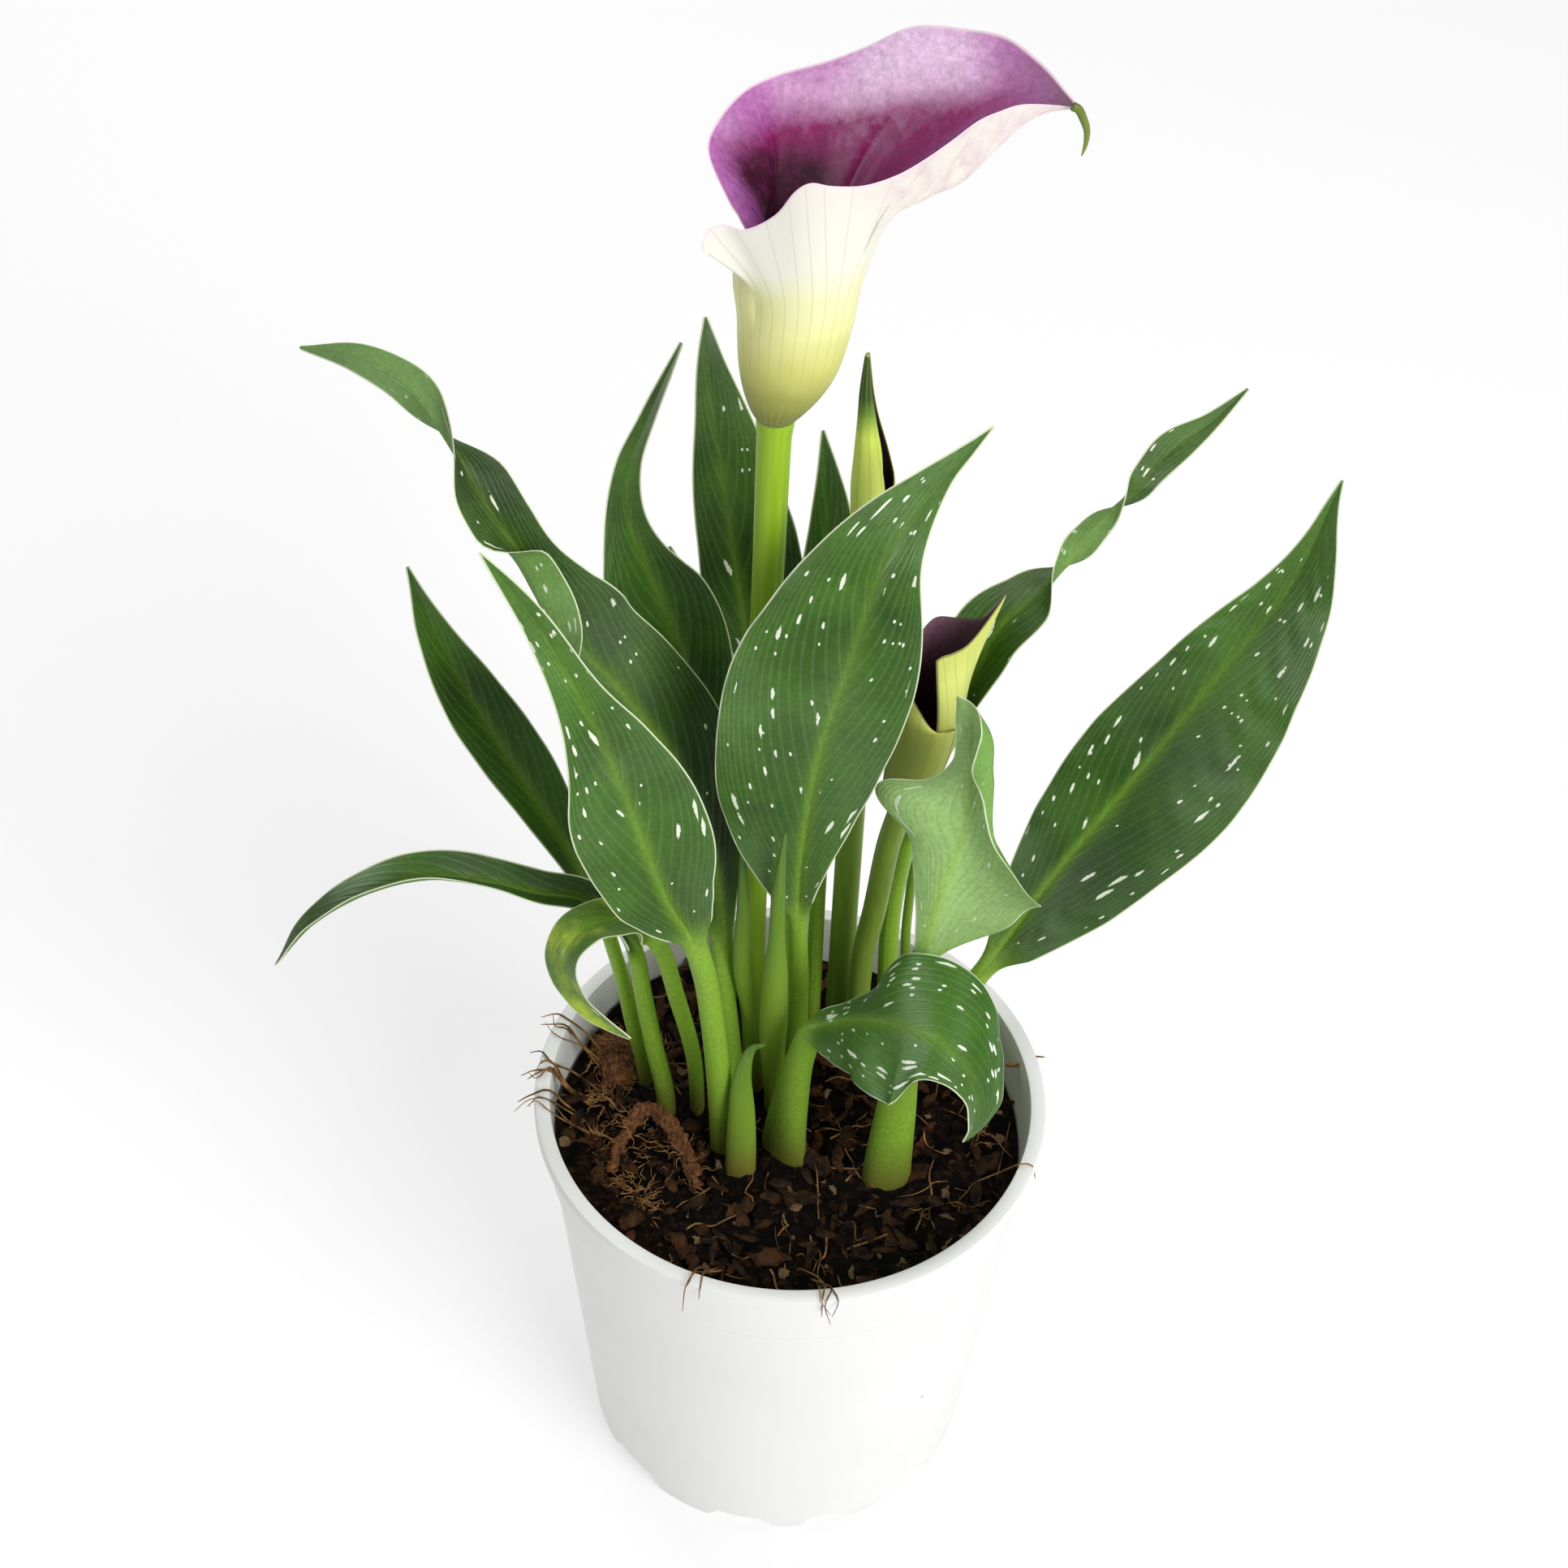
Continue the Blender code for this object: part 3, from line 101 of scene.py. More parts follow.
# Leaves. spine: points along the midrib from the foot to the tip. blade: where along those points
# the blade starts. face: way along the blade, direction of the upper face, twist about the midrib.
# width: way, left half, right half. form: way, fold at the midrib, curl of each half. crease: the
# parts of each half between which it curls, or all of it if left out. stalk: half width in the
# soil, half width at the blade, depth over width in the soil. wave: waves along the margin, their
# height, their start. skin: which of the leaf materials it has, the plain one if left out.
LEAVES = {
    "leaf_tall_left": dict(
        spine=[(-14, 2, 97), (-14, 2, 113), (-16, 3, 140), (-18, 5, 160), (-19, 7, 182), (-24, 8, 208),
               (-31, 8, 228), (-41, 8, 246), (-49.5, 8, 258), (-56, 8, 270), (-61.5, 9, 282),
               (-66.5, 10, 290), (-71.5, 12, 298), (-76, 15, 305), (-80.5, 19, 310), (-86, 24, 314.5),
               (-97, 30, 317), (-110.5, 37, 314)],
        blade=3.0,
        face=[(0, 0.4, -0.8, 0.4, 0), (0.3, 0.35, -0.75, 0.6, 0), (0.6, 0.2, -0.7, 0.7, 0),
              (0.73, 0.2, -0.7, 0.7, 10), (0.8, 0.1, -0.7, 0.7, 100), (0.86, 0, -0.7, 0.7, 175),
              (1, 0, -0.7, 0.7, 190)],
        width=[(0, 2, 2), (0.1, 6, 4), (0.2, 13, 10), (0.3, 20, 15), (0.4, 20, 16), (0.5, 13, 14.5),
               (0.56, 11, 13.5), (0.6, 11, 10.5), (0.645, 10, 7), (0.69, 8, 7.5), (0.74, 7, 7.5),
               (0.78, 5.5, 5.5), (0.82, 5, 5), (0.87, 4.5, 4.5), (0.93, 3.4, 3.4), (1, 0.5, 0.5)],
        form=[(0, 30, 0, 0), (0.3, 15, 0, -20), (0.5, 15, 20, -20), (0.56, 15, 120, 0),
              (0.6, 15, 165, 0), (0.645, 15, 150, 0), (0.7, 20, 10, 0), (1, 20, 0, 0)],
        crease=(0.1, 0.5), stalk=(2.8, 2.5, 1.0), wave=(3, 0.6, 57)),
    "leaf_front_left": dict(
        spine=[(-17, -8, 97), (-17, -8, 113), (-18, -12, 140), (-19.5, -15, 163), (-21.5, -17, 182.5),
               (-24.5, -18, 195.5), (-29, -18.5, 205.5), (-34, -19, 223), (-38, -19, 238),
               (-43, -18, 253.5), (-49, -16, 267.5), (-58, -10, 281), (-69, -4, 293)],
        blade=4.5,
        face=[(0, 0.1, -0.9, 0.4, 0), (0.5, 0.15, -0.8, 0.6, 0), (1, 0.2, -0.7, 0.7, 0)],
        width=[(0, 2.5, 3), (0.06, 3.5, 5), (0.1, 5.5, 8), (0.15, 9, 10.5), (0.2, 12, 12),
               (0.3, 14, 15), (0.44, 14.5, 14.5), (0.575, 9.5, 10), (0.7, 6, 5), (0.85, 3.5, 3),
               (0.93, 2, 1.8), (1, 0.3, 0.3)],
        form=[(0, 35, 0, 0), (0.3, 15, -10, -10), (0.7, 15, 0, 0), (1, 25, 0, 0)],
        stalk=(3.2, 2.8, 1.0), wave=(2.5, 1.0, 57), skin="spotted"),
    "leaf_narrow_left": dict(
        spine=[(-38, 12, 97), (-38, 12, 113), (-41, 10, 135), (-44, 10, 155), (-51, 13, 180),
               (-63, 18, 202), (-77, 26, 224), (-87, 33, 242), (-93, 40, 254)],
        blade=3.3,
        face=[(0, 0.3, -0.8, 0.5, 0), (0.5, 0.3, -0.65, 0.72, 0), (1, 0.3, -0.6, 0.7, 0)],
        width=[(0, 2, 2), (0.2, 4, 4), (0.4, 6, 8), (0.55, 8, 9), (0.7, 8.5, 7.5), (0.85, 5.5, 4),
               (0.95, 2, 1.5), (1, 0.5, 0.5)],
        form=[(0, 30, 0, 0), (0.4, 18, 0, 0), (1, 25, 0, 0)],
        stalk=(2.2, 1.8, 1.0), wave=(2, 0.6, 0), skin="bare"),
    "leaf_arching_left": dict(
        spine=[(-32, 3, 97), (-32, 3, 113), (-35, 3, 134), (-37.5, 3, 153), (-39.5, 3, 168.5),
               (-44.5, 2, 180.5), (-52.5, 1, 187.5), (-61.5, 0, 189.5), (-72.5, -2, 194.5),
               (-85.5, -4, 198), (-99, -6, 195), (-113, -7, 185), (-125, -5, 167)],
        blade=3.6,
        face=[(0, 0.6, -0.5, 0.6, 0), (0.25, 0.3, -0.3, 0.9, 0), (0.5, 0, -0.1, 1, 0),
              (1, -0.5, -0.1, 0.8, 0)],
        width=[(0, 2, 2), (0.2, 6, 5), (0.4, 7, 6), (0.6, 6, 6), (0.8, 4, 4), (0.92, 2.5, 2.5),
               (1, 0.5, 0.5)],
        form=[(0, 35, 0, 0), (0.3, 40, 0, 0), (0.6, 45, 0, 0), (0.9, 30, 0, 0), (1, 10, 0, 0)],
        stalk=(2.5, 2.2, 1.0), wave=(2, 0.8, 0), skin="bare"),
    "leaf_small_drooping": dict(
        spine=[(-24, 4, 97), (-24, 4, 112), (-25, 0, 135), (-29, -3, 159.5), (-32.5, -4, 176.5),
               (-38, -6, 186.5), (-44, -11, 192.5), (-50, -17, 194.5), (-53, -22, 192),
               (-51.5, -25, 186), (-46, -27, 178.5), (-38, -29, 172.5)],
        blade=4.2,
        face=[(0, -0.1, -0.5, 0.8, 0), (0.35, -0.3, -0.3, 0.9, 0), (0.6, -0.8, -0.4, 0.5, 0),
              (0.8, -0.6, -0.6, 0.2, 0), (1, -0.3, -0.8, 0, 0)],
        width=[(0, 2, 2), (0.15, 5, 5), (0.35, 7, 7), (0.6, 6.5, 6.5), (0.8, 4, 4), (1, 0.5, 0.5)],
        form=[(0, 35, 0, 0), (0.4, 10, 0, 0), (1, 20, 0, 0)],
        stalk=(1.9, 2.1, 1.0), wave=(1.5, 0.6, 0), skin="yellowed"),
    "leaf_back_left": dict(
        spine=[(-17, 25, 97), (-17, 25, 113), (-18, 26, 140), (-21, 28, 180), (-25, 29, 215),
               (-31, 33, 242), (-37, 38, 256), (-42, 42, 269), (-42, 46, 280), (-38, 50, 291),
               (-31, 57, 306)],
        blade=3.2,
        face=[(0, 0.1, -0.9, 0.4, 0), (0.5, 0.15, -0.8, 0.6, 0), (1, 0.1, -0.8, 0.6, 0)],
        width=[(0, 2, 2), (0.2, 8, 8), (0.4, 14, 12), (0.52, 16, 11), (0.6, 11, 6), (0.68, 6, 4),
               (0.8, 3, 2.5), (0.92, 1.5, 1.5), (1, 0.5, 0.5)],
        form=[(0, 30, 0, 0), (0.4, 15, 0, 0), (1, 25, 0, 0)],
        stalk=(2.6, 2.2, 1.0), wave=(2, 0.8, 0), skin="bare"),
    "leaf_back_small": dict(
        spine=[(-10, 30, 97), (-10, 30, 113), (-11, 30, 142), (-14, 33, 183), (-19, 36, 218),
               (-26, 39.5, 242), (-33, 43.5, 260)],
        blade=2.6,
        face=[(0, 0.2, -0.9, 0.4, 0), (1, 0.2, -0.7, 0.6, 0)],
        width=[(0, 1.8, 1.8), (0.3, 5, 5), (0.6, 6, 6), (0.85, 3, 3), (1, 0.5, 0.5)],
        form=[(0, 30, 0, 0), (1, 22, 0, 0)],
        stalk=(2.0, 1.7, 1.0), wave=(1, 0.4, 0), skin="bare"),
    "leaf_back_centre": dict(
        spine=[(-3, 37, 97), (-3, 37, 113), (-4, 38, 143), (-8, 41, 182), (-13, 45, 222), (-18, 49, 254),
               (-22, 53, 280), (-25, 58, 299), (-26, 63, 309)],
        blade=3.0,
        face=[(0, 0.1, -0.9, 0.4, 0), (0.5, 0.1, -0.8, 0.6, 0), (1, 0.1, -0.8, 0.6, 0)],
        width=[(0, 2, 2), (0.2, 9, 9), (0.42, 10, 15), (0.6, 9, 15), (0.72, 8, 12), (0.84, 5, 8),
               (0.94, 2.5, 3.5), (1, 0.5, 0.5)],
        form=[(0, 30, 0, 0), (0.4, 15, 0, 0), (1, 25, 0, 0)],
        stalk=(2.6, 2.2, 1.0), wave=(2, 0.8, 0)),
    "leaf_back_slim": dict(
        spine=[(5, 31, 97), (5, 31, 113), (5, 33, 150), (5, 35, 188), (4, 38, 218), (3, 42, 246),
               (3, 47, 267), (1, 53, 287)],
        blade=3.0,
        face=[(0, 0, -0.9, 0.4, 0), (1, 0, -0.8, 0.6, 0)],
        width=[(0, 1.8, 1.8), (0.3, 6, 6), (0.6, 7, 7.5), (0.8, 4.5, 6), (0.92, 2, 3), (1, 0.5, 0.5)],
        form=[(0, 30, 0, 0), (1, 22, 0, 0)],
        stalk=(2.2, 1.9, 1.0), wave=(1, 0.4, 0), skin="bare"),
    "leaf_front_centre": dict(
        spine=[(1, 15, 97), (1, 15, 113), (1, 9, 151), (0, 1, 180), (0, -3, 207), (3, -4, 240),
               (9, -3, 268), (15, 3, 290), (24, 12, 301), (36, 22, 311)],
        blade=3.0,
        face=[(0, 0, -0.95, 0.3, 0), (0.5, 0, -0.9, 0.45, 0), (1, 0.1, -0.7, 0.7, 0)],
        width=[(0, 2, 2), (0.1, 6, 4), (0.2, 14, 7.5), (0.3, 20.5, 11), (0.42, 23.5, 14.5),
               (0.55, 24.5, 15.5), (0.67, 20, 12.5), (0.8, 10.5, 6), (0.9, 4.5, 2), (0.95, 2.2, 1.2),
               (1, 0.3, 0.3)],
        form=[(0, 30, 10, 10), (0.3, 12, -12, -14), (0.7, 10, -10, -10), (1, 25, 0, 0)],
        stalk=(2.8, 2.3, 1.0), wave=(2.5, 1.0, 29), skin="spotted"),
    "leaf_twisted_right": dict(
        spine=[(25, 38, 97), (25, 38, 113), (24, 34, 151), (26, 30, 181), (31, 28, 208), (36, 28, 229),
               (40, 29, 241), (43, 30, 250), (49, 31, 258), (56, 34, 266), (63, 39, 274), (70, 43, 280),
               (78, 48, 288), (87, 53, 293), (95, 58, 299)],
        blade=3.0,
        face=[(0, -0.4, -0.6, 0.7, 0), (0.55, -0.3, -0.6, 0.7, -10), (0.62, -0.3, -0.6, 0.7, -90),
              (0.67, -0.3, -0.6, 0.7, -165), (0.71, -0.3, -0.6, 0.7, -195),
              (0.755, -0.3, -0.6, 0.7, -270), (0.8, -0.3, -0.6, 0.7, -345), (1, -0.3, -0.6, 0.7, -360)],
        width=[(0, 2, 2), (0.1, 5, 4), (0.25, 12, 6), (0.4, 12, 8), (0.48, 10, 8.5), (0.55, 7, 7.5),
               (0.62, 4.5, 4.5), (0.67, 3.7, 3.7), (0.75, 3.2, 3.2), (0.8, 3.6, 3.6), (0.86, 4.4, 4.4),
               (0.93, 2.3, 2.3), (1, 0.5, 0.5)],
        form=[(0, 50, 0, 0), (0.3, 50, 0, 0), (0.42, 40, 0, 0), (0.5, 20, 0, 0), (0.56, 12, 0, 0),
              (1, 20, 0, 0)],
        stalk=(2.8, 2.4, 1.0), wave=(2, 0.5, 0)),
    "leaf_broad_right": dict(
        spine=[(36, 26, 97), (36, 26, 112), (42, 24, 130), (51, 26, 147), (64, 33, 169), (82, 43, 194),
               (99, 52, 219), (114, 59, 243), (122, 64, 271)],
        blade=2.6,
        face=[(0, -0.3, -0.8, 0.6, 0), (0.5, -0.2, -0.65, 0.72, 0), (1, -0.3, -0.6, 0.7, 0)],
        width=[(0, 2, 2), (0.1, 6, 10), (0.2, 11, 17), (0.3, 15, 21), (0.45, 17, 25), (0.6, 14, 23),
               (0.7, 11, 19), (0.8, 7, 13), (0.9, 3, 6.5), (0.96, 1.5, 2.5), (1, 0.5, 0.5)],
        form=[(0, 30, 0, 0), (0.3, 12, -8, -8), (0.7, 10, -6, -6), (1, 25, 0, 0)],
        stalk=(3.0, 2.6, 1.0), wave=(3, 1.2, 0), skin="spotted"),
    "leaf_cupped_right": dict(
        spine=[(25, -16, 97), (25, -16, 113), (26, -15, 135), (27, -14, 162), (29, -13, 191),
               (30.5, -12.5, 202), (32, -12, 211.5), (34, -11, 220), (35, -10, 226), (36, -9, 233.5),
               (36, -8, 241), (35, -7, 248.5), (34, -5.5, 254), (32, -4, 259)],
        blade=3.7,
        face=[(0, -0.2, 0.95, 0.2, 0), (0.5, -0.2, 0.9, 0.4, 0), (1, -0.1, 0.6, 0.8, 0)],
        width=[(0, 2, 2), (0.06, 11, 2), (0.13, 19, 2.5), (0.28, 23, 5), (0.38, 24, 8), (0.47, 19, 12),
               (0.56, 13, 22), (0.62, 11, 20), (0.68, 11, 11), (0.78, 13, 4.5), (0.86, 15, 3),
               (0.94, 9, 2.5), (1, 0.5, 0.5)],
        form=[(0, 15, 0, 0), (0.15, 10, -20, 10), (0.3, 10, -45, 30), (0.42, 5, -80, 60),
              (0.55, 5, -130, 70), (0.7, 5, -175, 60), (0.88, 5, -175, 20), (1, 10, 0, 0)],
        stalk=(6.5, 2.8, 0.6), wave=(1.5, 0.6, 0), skin="cupped"),
    "leaf_low_right": dict(
        spine=[(-1, -8, 97), (-1, -8, 112), (0, -9, 128), (2, -12, 149), (5, -15, 162), (12, -20, 171),
               (19, -26, 178), (26, -31, 182), (33, -35, 182), (39, -38, 177), (42, -40, 170),
               (42, -42, 162), (40, -43, 157)],
        blade=3.7,
        face=[(0, -0.3, -0.3, 0.9, 0), (0.25, -0.2, -0.4, 0.9, 0), (0.4, -0.3, -0.6, 0.65, 0),
              (0.65, 0.2, -0.6, 0.6, 0), (0.8, 0.7, -0.6, 0.4, 0), (0.92, 0.8, -0.6, 0.1, 0),
              (1, 0.7, -0.7, -0.1, 0)],
        width=[(0, 3, 3), (0.08, 4, 6), (0.18, 5, 11), (0.3, 9, 15), (0.42, 16, 18), (0.5, 18, 18),
               (0.57, 18, 13), (0.66, 16, 8), (0.78, 12, 5), (0.9, 8, 4), (0.97, 3, 2), (1, 0.5, 0.5)],
        form=[(0, 20, 0, 0), (0.2, 5, -10, -50), (0.35, 5, -20, -20), (0.7, 5, -30, -10),
              (1, 15, 0, 0)],
        stalk=(7.6, 3.2, 0.5), wave=(2.5, 1.0, 0), skin="glossy"),
}

# Young shoots and the short sheath: points from foot to tip with the half width and depth over width
SHOOTS = {
    "shoot_left": dict(
        spine=[(-9, 12, 97), (-9, 12, 113), (-11, 6, 145), (-13, 2, 165), (-13, 1, 185), (-14, 0, 214)],
        half=[(0, 2.2), (0.5, 2.4), (0.68, 2.2), (0.85, 1.2), (1, 0.35)], depth=0.9),
    "shoot_centre": dict(
        spine=[(-4, 6, 97), (-4, 6, 113), (-5, 2, 135), (-5, -3, 161), (-5, -7, 185), (-5, -9, 203),
               (-4, -10, 222)],
        half=[(0, 2.6), (0.25, 3.0), (0.42, 3.5), (0.58, 3.0), (0.7, 2.0), (0.85, 1.5), (1, 0.35)],
        depth=0.9),
    "stalk_right": dict(
        spine=[(30, 47, 97), (30, 47, 113), (29, 45, 135), (29, 43, 151), (29, 40, 172)],
        half=[(0, 1.3), (0.8, 1.2), (1, 0.5)], depth=1.0),
    "sheath_front": dict(
        spine=[(-12, -15, 97), (-12, -15, 112), (-12, -16, 130), (-12, -15, 145), (-10, -14, 153),
               (-7, -15, 156)],
        half=[(0, 3.9), (0.35, 3.8), (0.65, 3.0), (0.85, 1.7), (1, 0.4)], depth=0.62),
}

# Blooms. The tube rises from the stem as rings of (x, y, z, radius), and the free edge of the
# spathe, its rim, is a list of (direction of the tube below it, x, y, z). The open bloom's rim goes
# all the way round. The young one's goes further and wraps over itself, from its inner layer to its
# outer one. limb: points between tube and rim, for some of the directions. cavity_floor: where the
# hollow inside ends. limb_rows: rows from tube to rim. layers: how far out the wrap starts and ends.
BLOOMS = {
    "bloom_open": dict(
        stem=[(-10, 21, 97), (-10, 21, 113), (-11, 20, 155), (-11, 20, 190), (-11, 20, 228),
              (-10, 20, 268), (-9.5, 20, 309), (-9.3, 20, 313)],
        stem_radius=(3.0, 4.1),
        tube=[(-8.9, 20, 315.5, 5.5), (-8, 20, 320, 7.9), (-7, 20, 326, 9.9), (-6, 20, 337, 11.4),
              (-5.5, 20, 348, 12.6)],
        rim=[(-50, -16, 13, 358), (-60, -17.5, 15, 361.5), (-70, -20, 17, 364.5), (-93, -24, 24, 370),
             (-116, -23, 32, 372), (-136, -18, 40, 375), (-155, -11, 46, 376), (-172, -2, 48, 378),
             (-186, 6, 49, 381), (-200, 15, 48, 386), (-212, 25, 45.5, 387), (-223, 33, 42.5, 387),
             (-233, 40, 39, 383.5), (-242, 44.5, 34.5, 380.5), (-249, 46.5, 31, 379.5),
             (-255, 46.5, 29, 379.8), (-261, 44, 28.5, 380.3), (-268, 39.5, 28.5, 380.5),
             (-275, 35, 26, 381.5), (-282, 31, 23, 381.5), (-289, 27, 20, 381), (-296, 22, 16.5, 378.5),
             (-303, 17, 13.5, 376), (-311, 12, 11, 374), (-320, 6, 8.5, 373), (-332, 0, 6, 374),
             (-344, -4, 5, 375), (-356, -7, 5, 373), (-368, -10.5, 6, 367.5), (-380, -16, 7, 363.7),
             (-390, -20.3, 7.5, 364.3), (-398, -23.3, 6.5, 363.2), (-404, -23.6, 6, 359.3)],
        limb={-60: [(-12.5, 15, 354)], -70: [(-13, 18, 355.5)], -93: [(-13, 23, 356.5)],
              -116: [(-13, 28, 357)], -136: [(-11, 33, 359)],
              -212: [(6, 37.5, 362)], -223: [(8.5, 36, 363), (22, 38.5, 374.5)],
              -233: [(10, 34.5, 363), (28, 37, 376.5)], -242: [(11, 32.5, 363), (33, 34.5, 378)],
              -249: [(12, 30.5, 363), (34, 32, 378.3)],
              -255: [(12.5, 28.5, 363), (33, 29.5, 377.5)],
              -261: [(13, 26.5, 363), (31.5, 27.5, 375.3)], -268: [(13.5, 24, 363), (29.5, 24.8, 371.6)],
              -275: [(13.6, 21.5, 363.5), (25, 21.5, 367.5)], -282: [(13.4, 19, 363.5), (20, 19.5, 366)],
              -289: [(12.5, 16, 363.5), (17.5, 17, 366)], -296: [(11, 13.5, 363.5)],
              -303: [(9, 11, 363)]},
        cavity_floor=318, limb_rows=36),
    "bloom_young": dict(
        stem=[(17, 26, 97), (17, 26, 113), (17, 24, 146), (19, 21, 168), (21, 18, 193), (23, 17, 205)],
        stem_radius=(2.8, 2.9),
        tube=[(23.5, 17, 210, 4.4), (25, 16, 217, 6.0), (26.5, 15.5, 226, 6.9), (28, 15, 238, 7.2)],
        rim=[(-352, 27.5, 9.5, 257.5), (-330, 29, 10, 258.5), (-312, 31, 10.5, 259),
             (-290, 34, 12, 260), (-262, 37, 15, 262), (-235, 42, 17, 271), (-215, 38, 20, 262),
             (-190, 33, 23, 259), (-155, 28, 23, 259), (-125, 25, 21, 257), (-100, 23, 19, 253),
             (-75, 22.5, 15.5, 249), (-50, 23, 12, 245.5), (-25, 25, 9, 243), (0, 27.5, 7.8, 239.5),
             (25, 30.5, 8.3, 235.5), (45, 33, 10, 232)],
        limb={}, limb_rows=30, layers=(-0.5, 0.8)),
}

# The rolled bloom: its stem, then rings of (x, y, z, radius) up to the hooked tip
ROLLED_BLOOM = dict(
    stem=[(12, 34, 97), (12, 34, 113), (12, 32, 155), (12, 30, 183), (12, 30, 222), (11, 31, 251),
          (11.5, 31, 270)],
    stem_radius=(3.4, 3.1),
    bud=[(11.5, 31.5, 278, 3.8), (11.5, 32, 287, 4.2), (11, 33, 295, 3.3), (10.2, 34, 303, 2.1),
         (9.6, 35, 310, 1.3), (9.5, 37, 318, 0.4)])

# How finely the living parts are modelled
LEAF_PARTS = np.array([0.0, 0.012, 0.03, 0.055, 0.09, 0.14, 0.2, 0.27, 0.34, 0.42, 0.5, 0.58, 0.66, 0.74,
                       0.81, 0.87, 0.915, 0.95, 0.975, 0.99, 1.0])
STALK_ROWS = 18
BLADE_ROWS = 130
CURL_STEPS = 120
LINE_STEPS = 40
SPATHE_STEPS = 6
# Half the thickness of a blade near its margin, what the midrib adds, and the narrowest half of a blade
MARGIN_THICK = 0.17
MIDRIB_THICK = 0.2
THINNEST_HALF = 0.15
# A side vein leaves the midrib at a slant and then runs nearly along the margin
VEIN_LEAN = 2.4
VEIN_BEND = 0.8
MAIN_VEIN_STEP = 9.0
FINE_VEIN_STEP = 1.8
# The veins of the right half don't meet those of the left
VEIN_SHIFT = 61.3
# White dashes lie at most one to a cell, of this length along the leaf and width across the veins
DASH_CELL = (5.0, 6.5)

# Where the inside of the open bloom is darker or more magenta, and where a pale painted highlight lies on it:
# x, y, z, radius, strength
DARK_BLOTS = [(-13, 32, 352, 8.5, 1.0), (-16.5, 29, 357, 6.5, 0.9), (-9, 36, 356, 8, 0.9),
              (-16, 32, 363, 4.5, 0.45), (-3, 37, 358, 5, 0.45), (-20, 27, 364, 4, 0.3)]
MAGENTA_BLOTS = [(-17, 34, 364, 5, 0.5), (-11, 38, 361, 7, 0.8), (-5, 39, 361, 8, 0.95),
                 (2, 38, 361.5, 7.5, 1.0), (7, 37, 363, 7, 1.0), (11, 36.5, 366, 7, 0.95),
                 (16, 36, 369, 6, 0.85), (21, 35, 372, 5.5, 0.75), (27, 34, 375, 5, 0.6),
                 (33, 34, 378, 5, 0.5), (-20, 30, 368, 4, 0.3)]
PAINTED_HIGHLIGHT_BLOTS = [(8, 43, 373, 9, 0.75), (2, 42, 369, 6, 0.45), (14, 46, 382, 9, 0.8),
              (22, 43, 382, 7, 0.65), (-8, 44, 373, 5, 0.45), (-21, 33, 370, 4, 0.3),
              (27, 39, 379, 5, 0.3)]
# A blot's radius is a little wider than the spread of its colour
BLOT_SPREAD = 0.75
# The outside of the open bloom is mottled to the right of this x and above this z, in metres
MOTTLE_FROM = (0.004, 0.358)

# The studio lights: place, the point aimed at, width in metres and power in watts. A large soft key
# stands at the right in front, with a top light and a weaker one from behind. The light on the left
# shows only in the gloss of the leaves.
LIGHTS = {
    "key_light": ((1.3, -1.5, 1.5), (0, 0, 0.22), 1.5, 42.0),
    "top_light": ((0.1, 0.3, 2.2), (0, 0, 0.2), 1.3, 13.0),
    "back_light": ((-0.8, 1.6, 1.3), (0, 0, 0.25), 1.2, 9.0),
    "sheen_light": ((-1.4, -0.9, 1.3), (0, 0, 0.25), 1.6, 60.0),
}
# The photograph's camera: place in metres, lens in millimetres, dip and roll in degrees
CAMERA_PLACE = (-0.0047, -0.4007, 0.6001)
CAMERA_LENS = 55.9
CAMERA_DIP = 42.9
CAMERA_ROLL = 2.2


def ease(value):
    """Rise smoothly from 0 to 1."""
    value = np.clip(value, 0.0, 1.0)
    return value * value * (3 - 2 * value)


def read_rows(rows, ways):
    """Read the values at many ways from rows of (way, value, ...), smoothly between the rows."""
    table = np.array(rows, float)
    at, values = table[:, 0], table[:, 1:]
    last = len(at) - 1
    low = np.maximum(np.arange(last + 1) - 1, 0)
    high = np.minimum(np.arange(last + 1) + 1, last)
    slope = (values[high] - values[low]) / (at[high] - at[low])[:, None]
    ways = np.clip(np.atleast_1d(ways), at[0], at[-1])
    i = np.clip(np.searchsorted(at, ways, side="right") - 1, 0, last - 1)
    step = (at[i + 1] - at[i])[:, None]
    t = (ways - at[i])[:, None] / step
    return ((2 * t ** 3 - 3 * t ** 2 + 1) * values[i] + (t ** 3 - 2 * t ** 2 + t) * step * slope[i]
            + (3 * t ** 2 - 2 * t ** 3) * values[i + 1] + (t ** 3 - t ** 2) * step * slope[i + 1])


def unit(vectors):
    """Rows of vectors, each made one long."""
    return vectors / np.maximum(np.linalg.norm(vectors, axis=-1, keepdims=True), 1e-9)


def square_to(heading, face):
    """The directions nearest to a face that are square to a heading."""
    return unit(face - heading * np.sum(face * heading, axis=-1, keepdims=True))


def compass(direction):
    """The level direction at an angle from the front, positive to the right."""
    turn = np.radians(direction)
    return np.stack([np.sin(turn), -np.cos(turn), np.zeros_like(turn)], axis=-1)


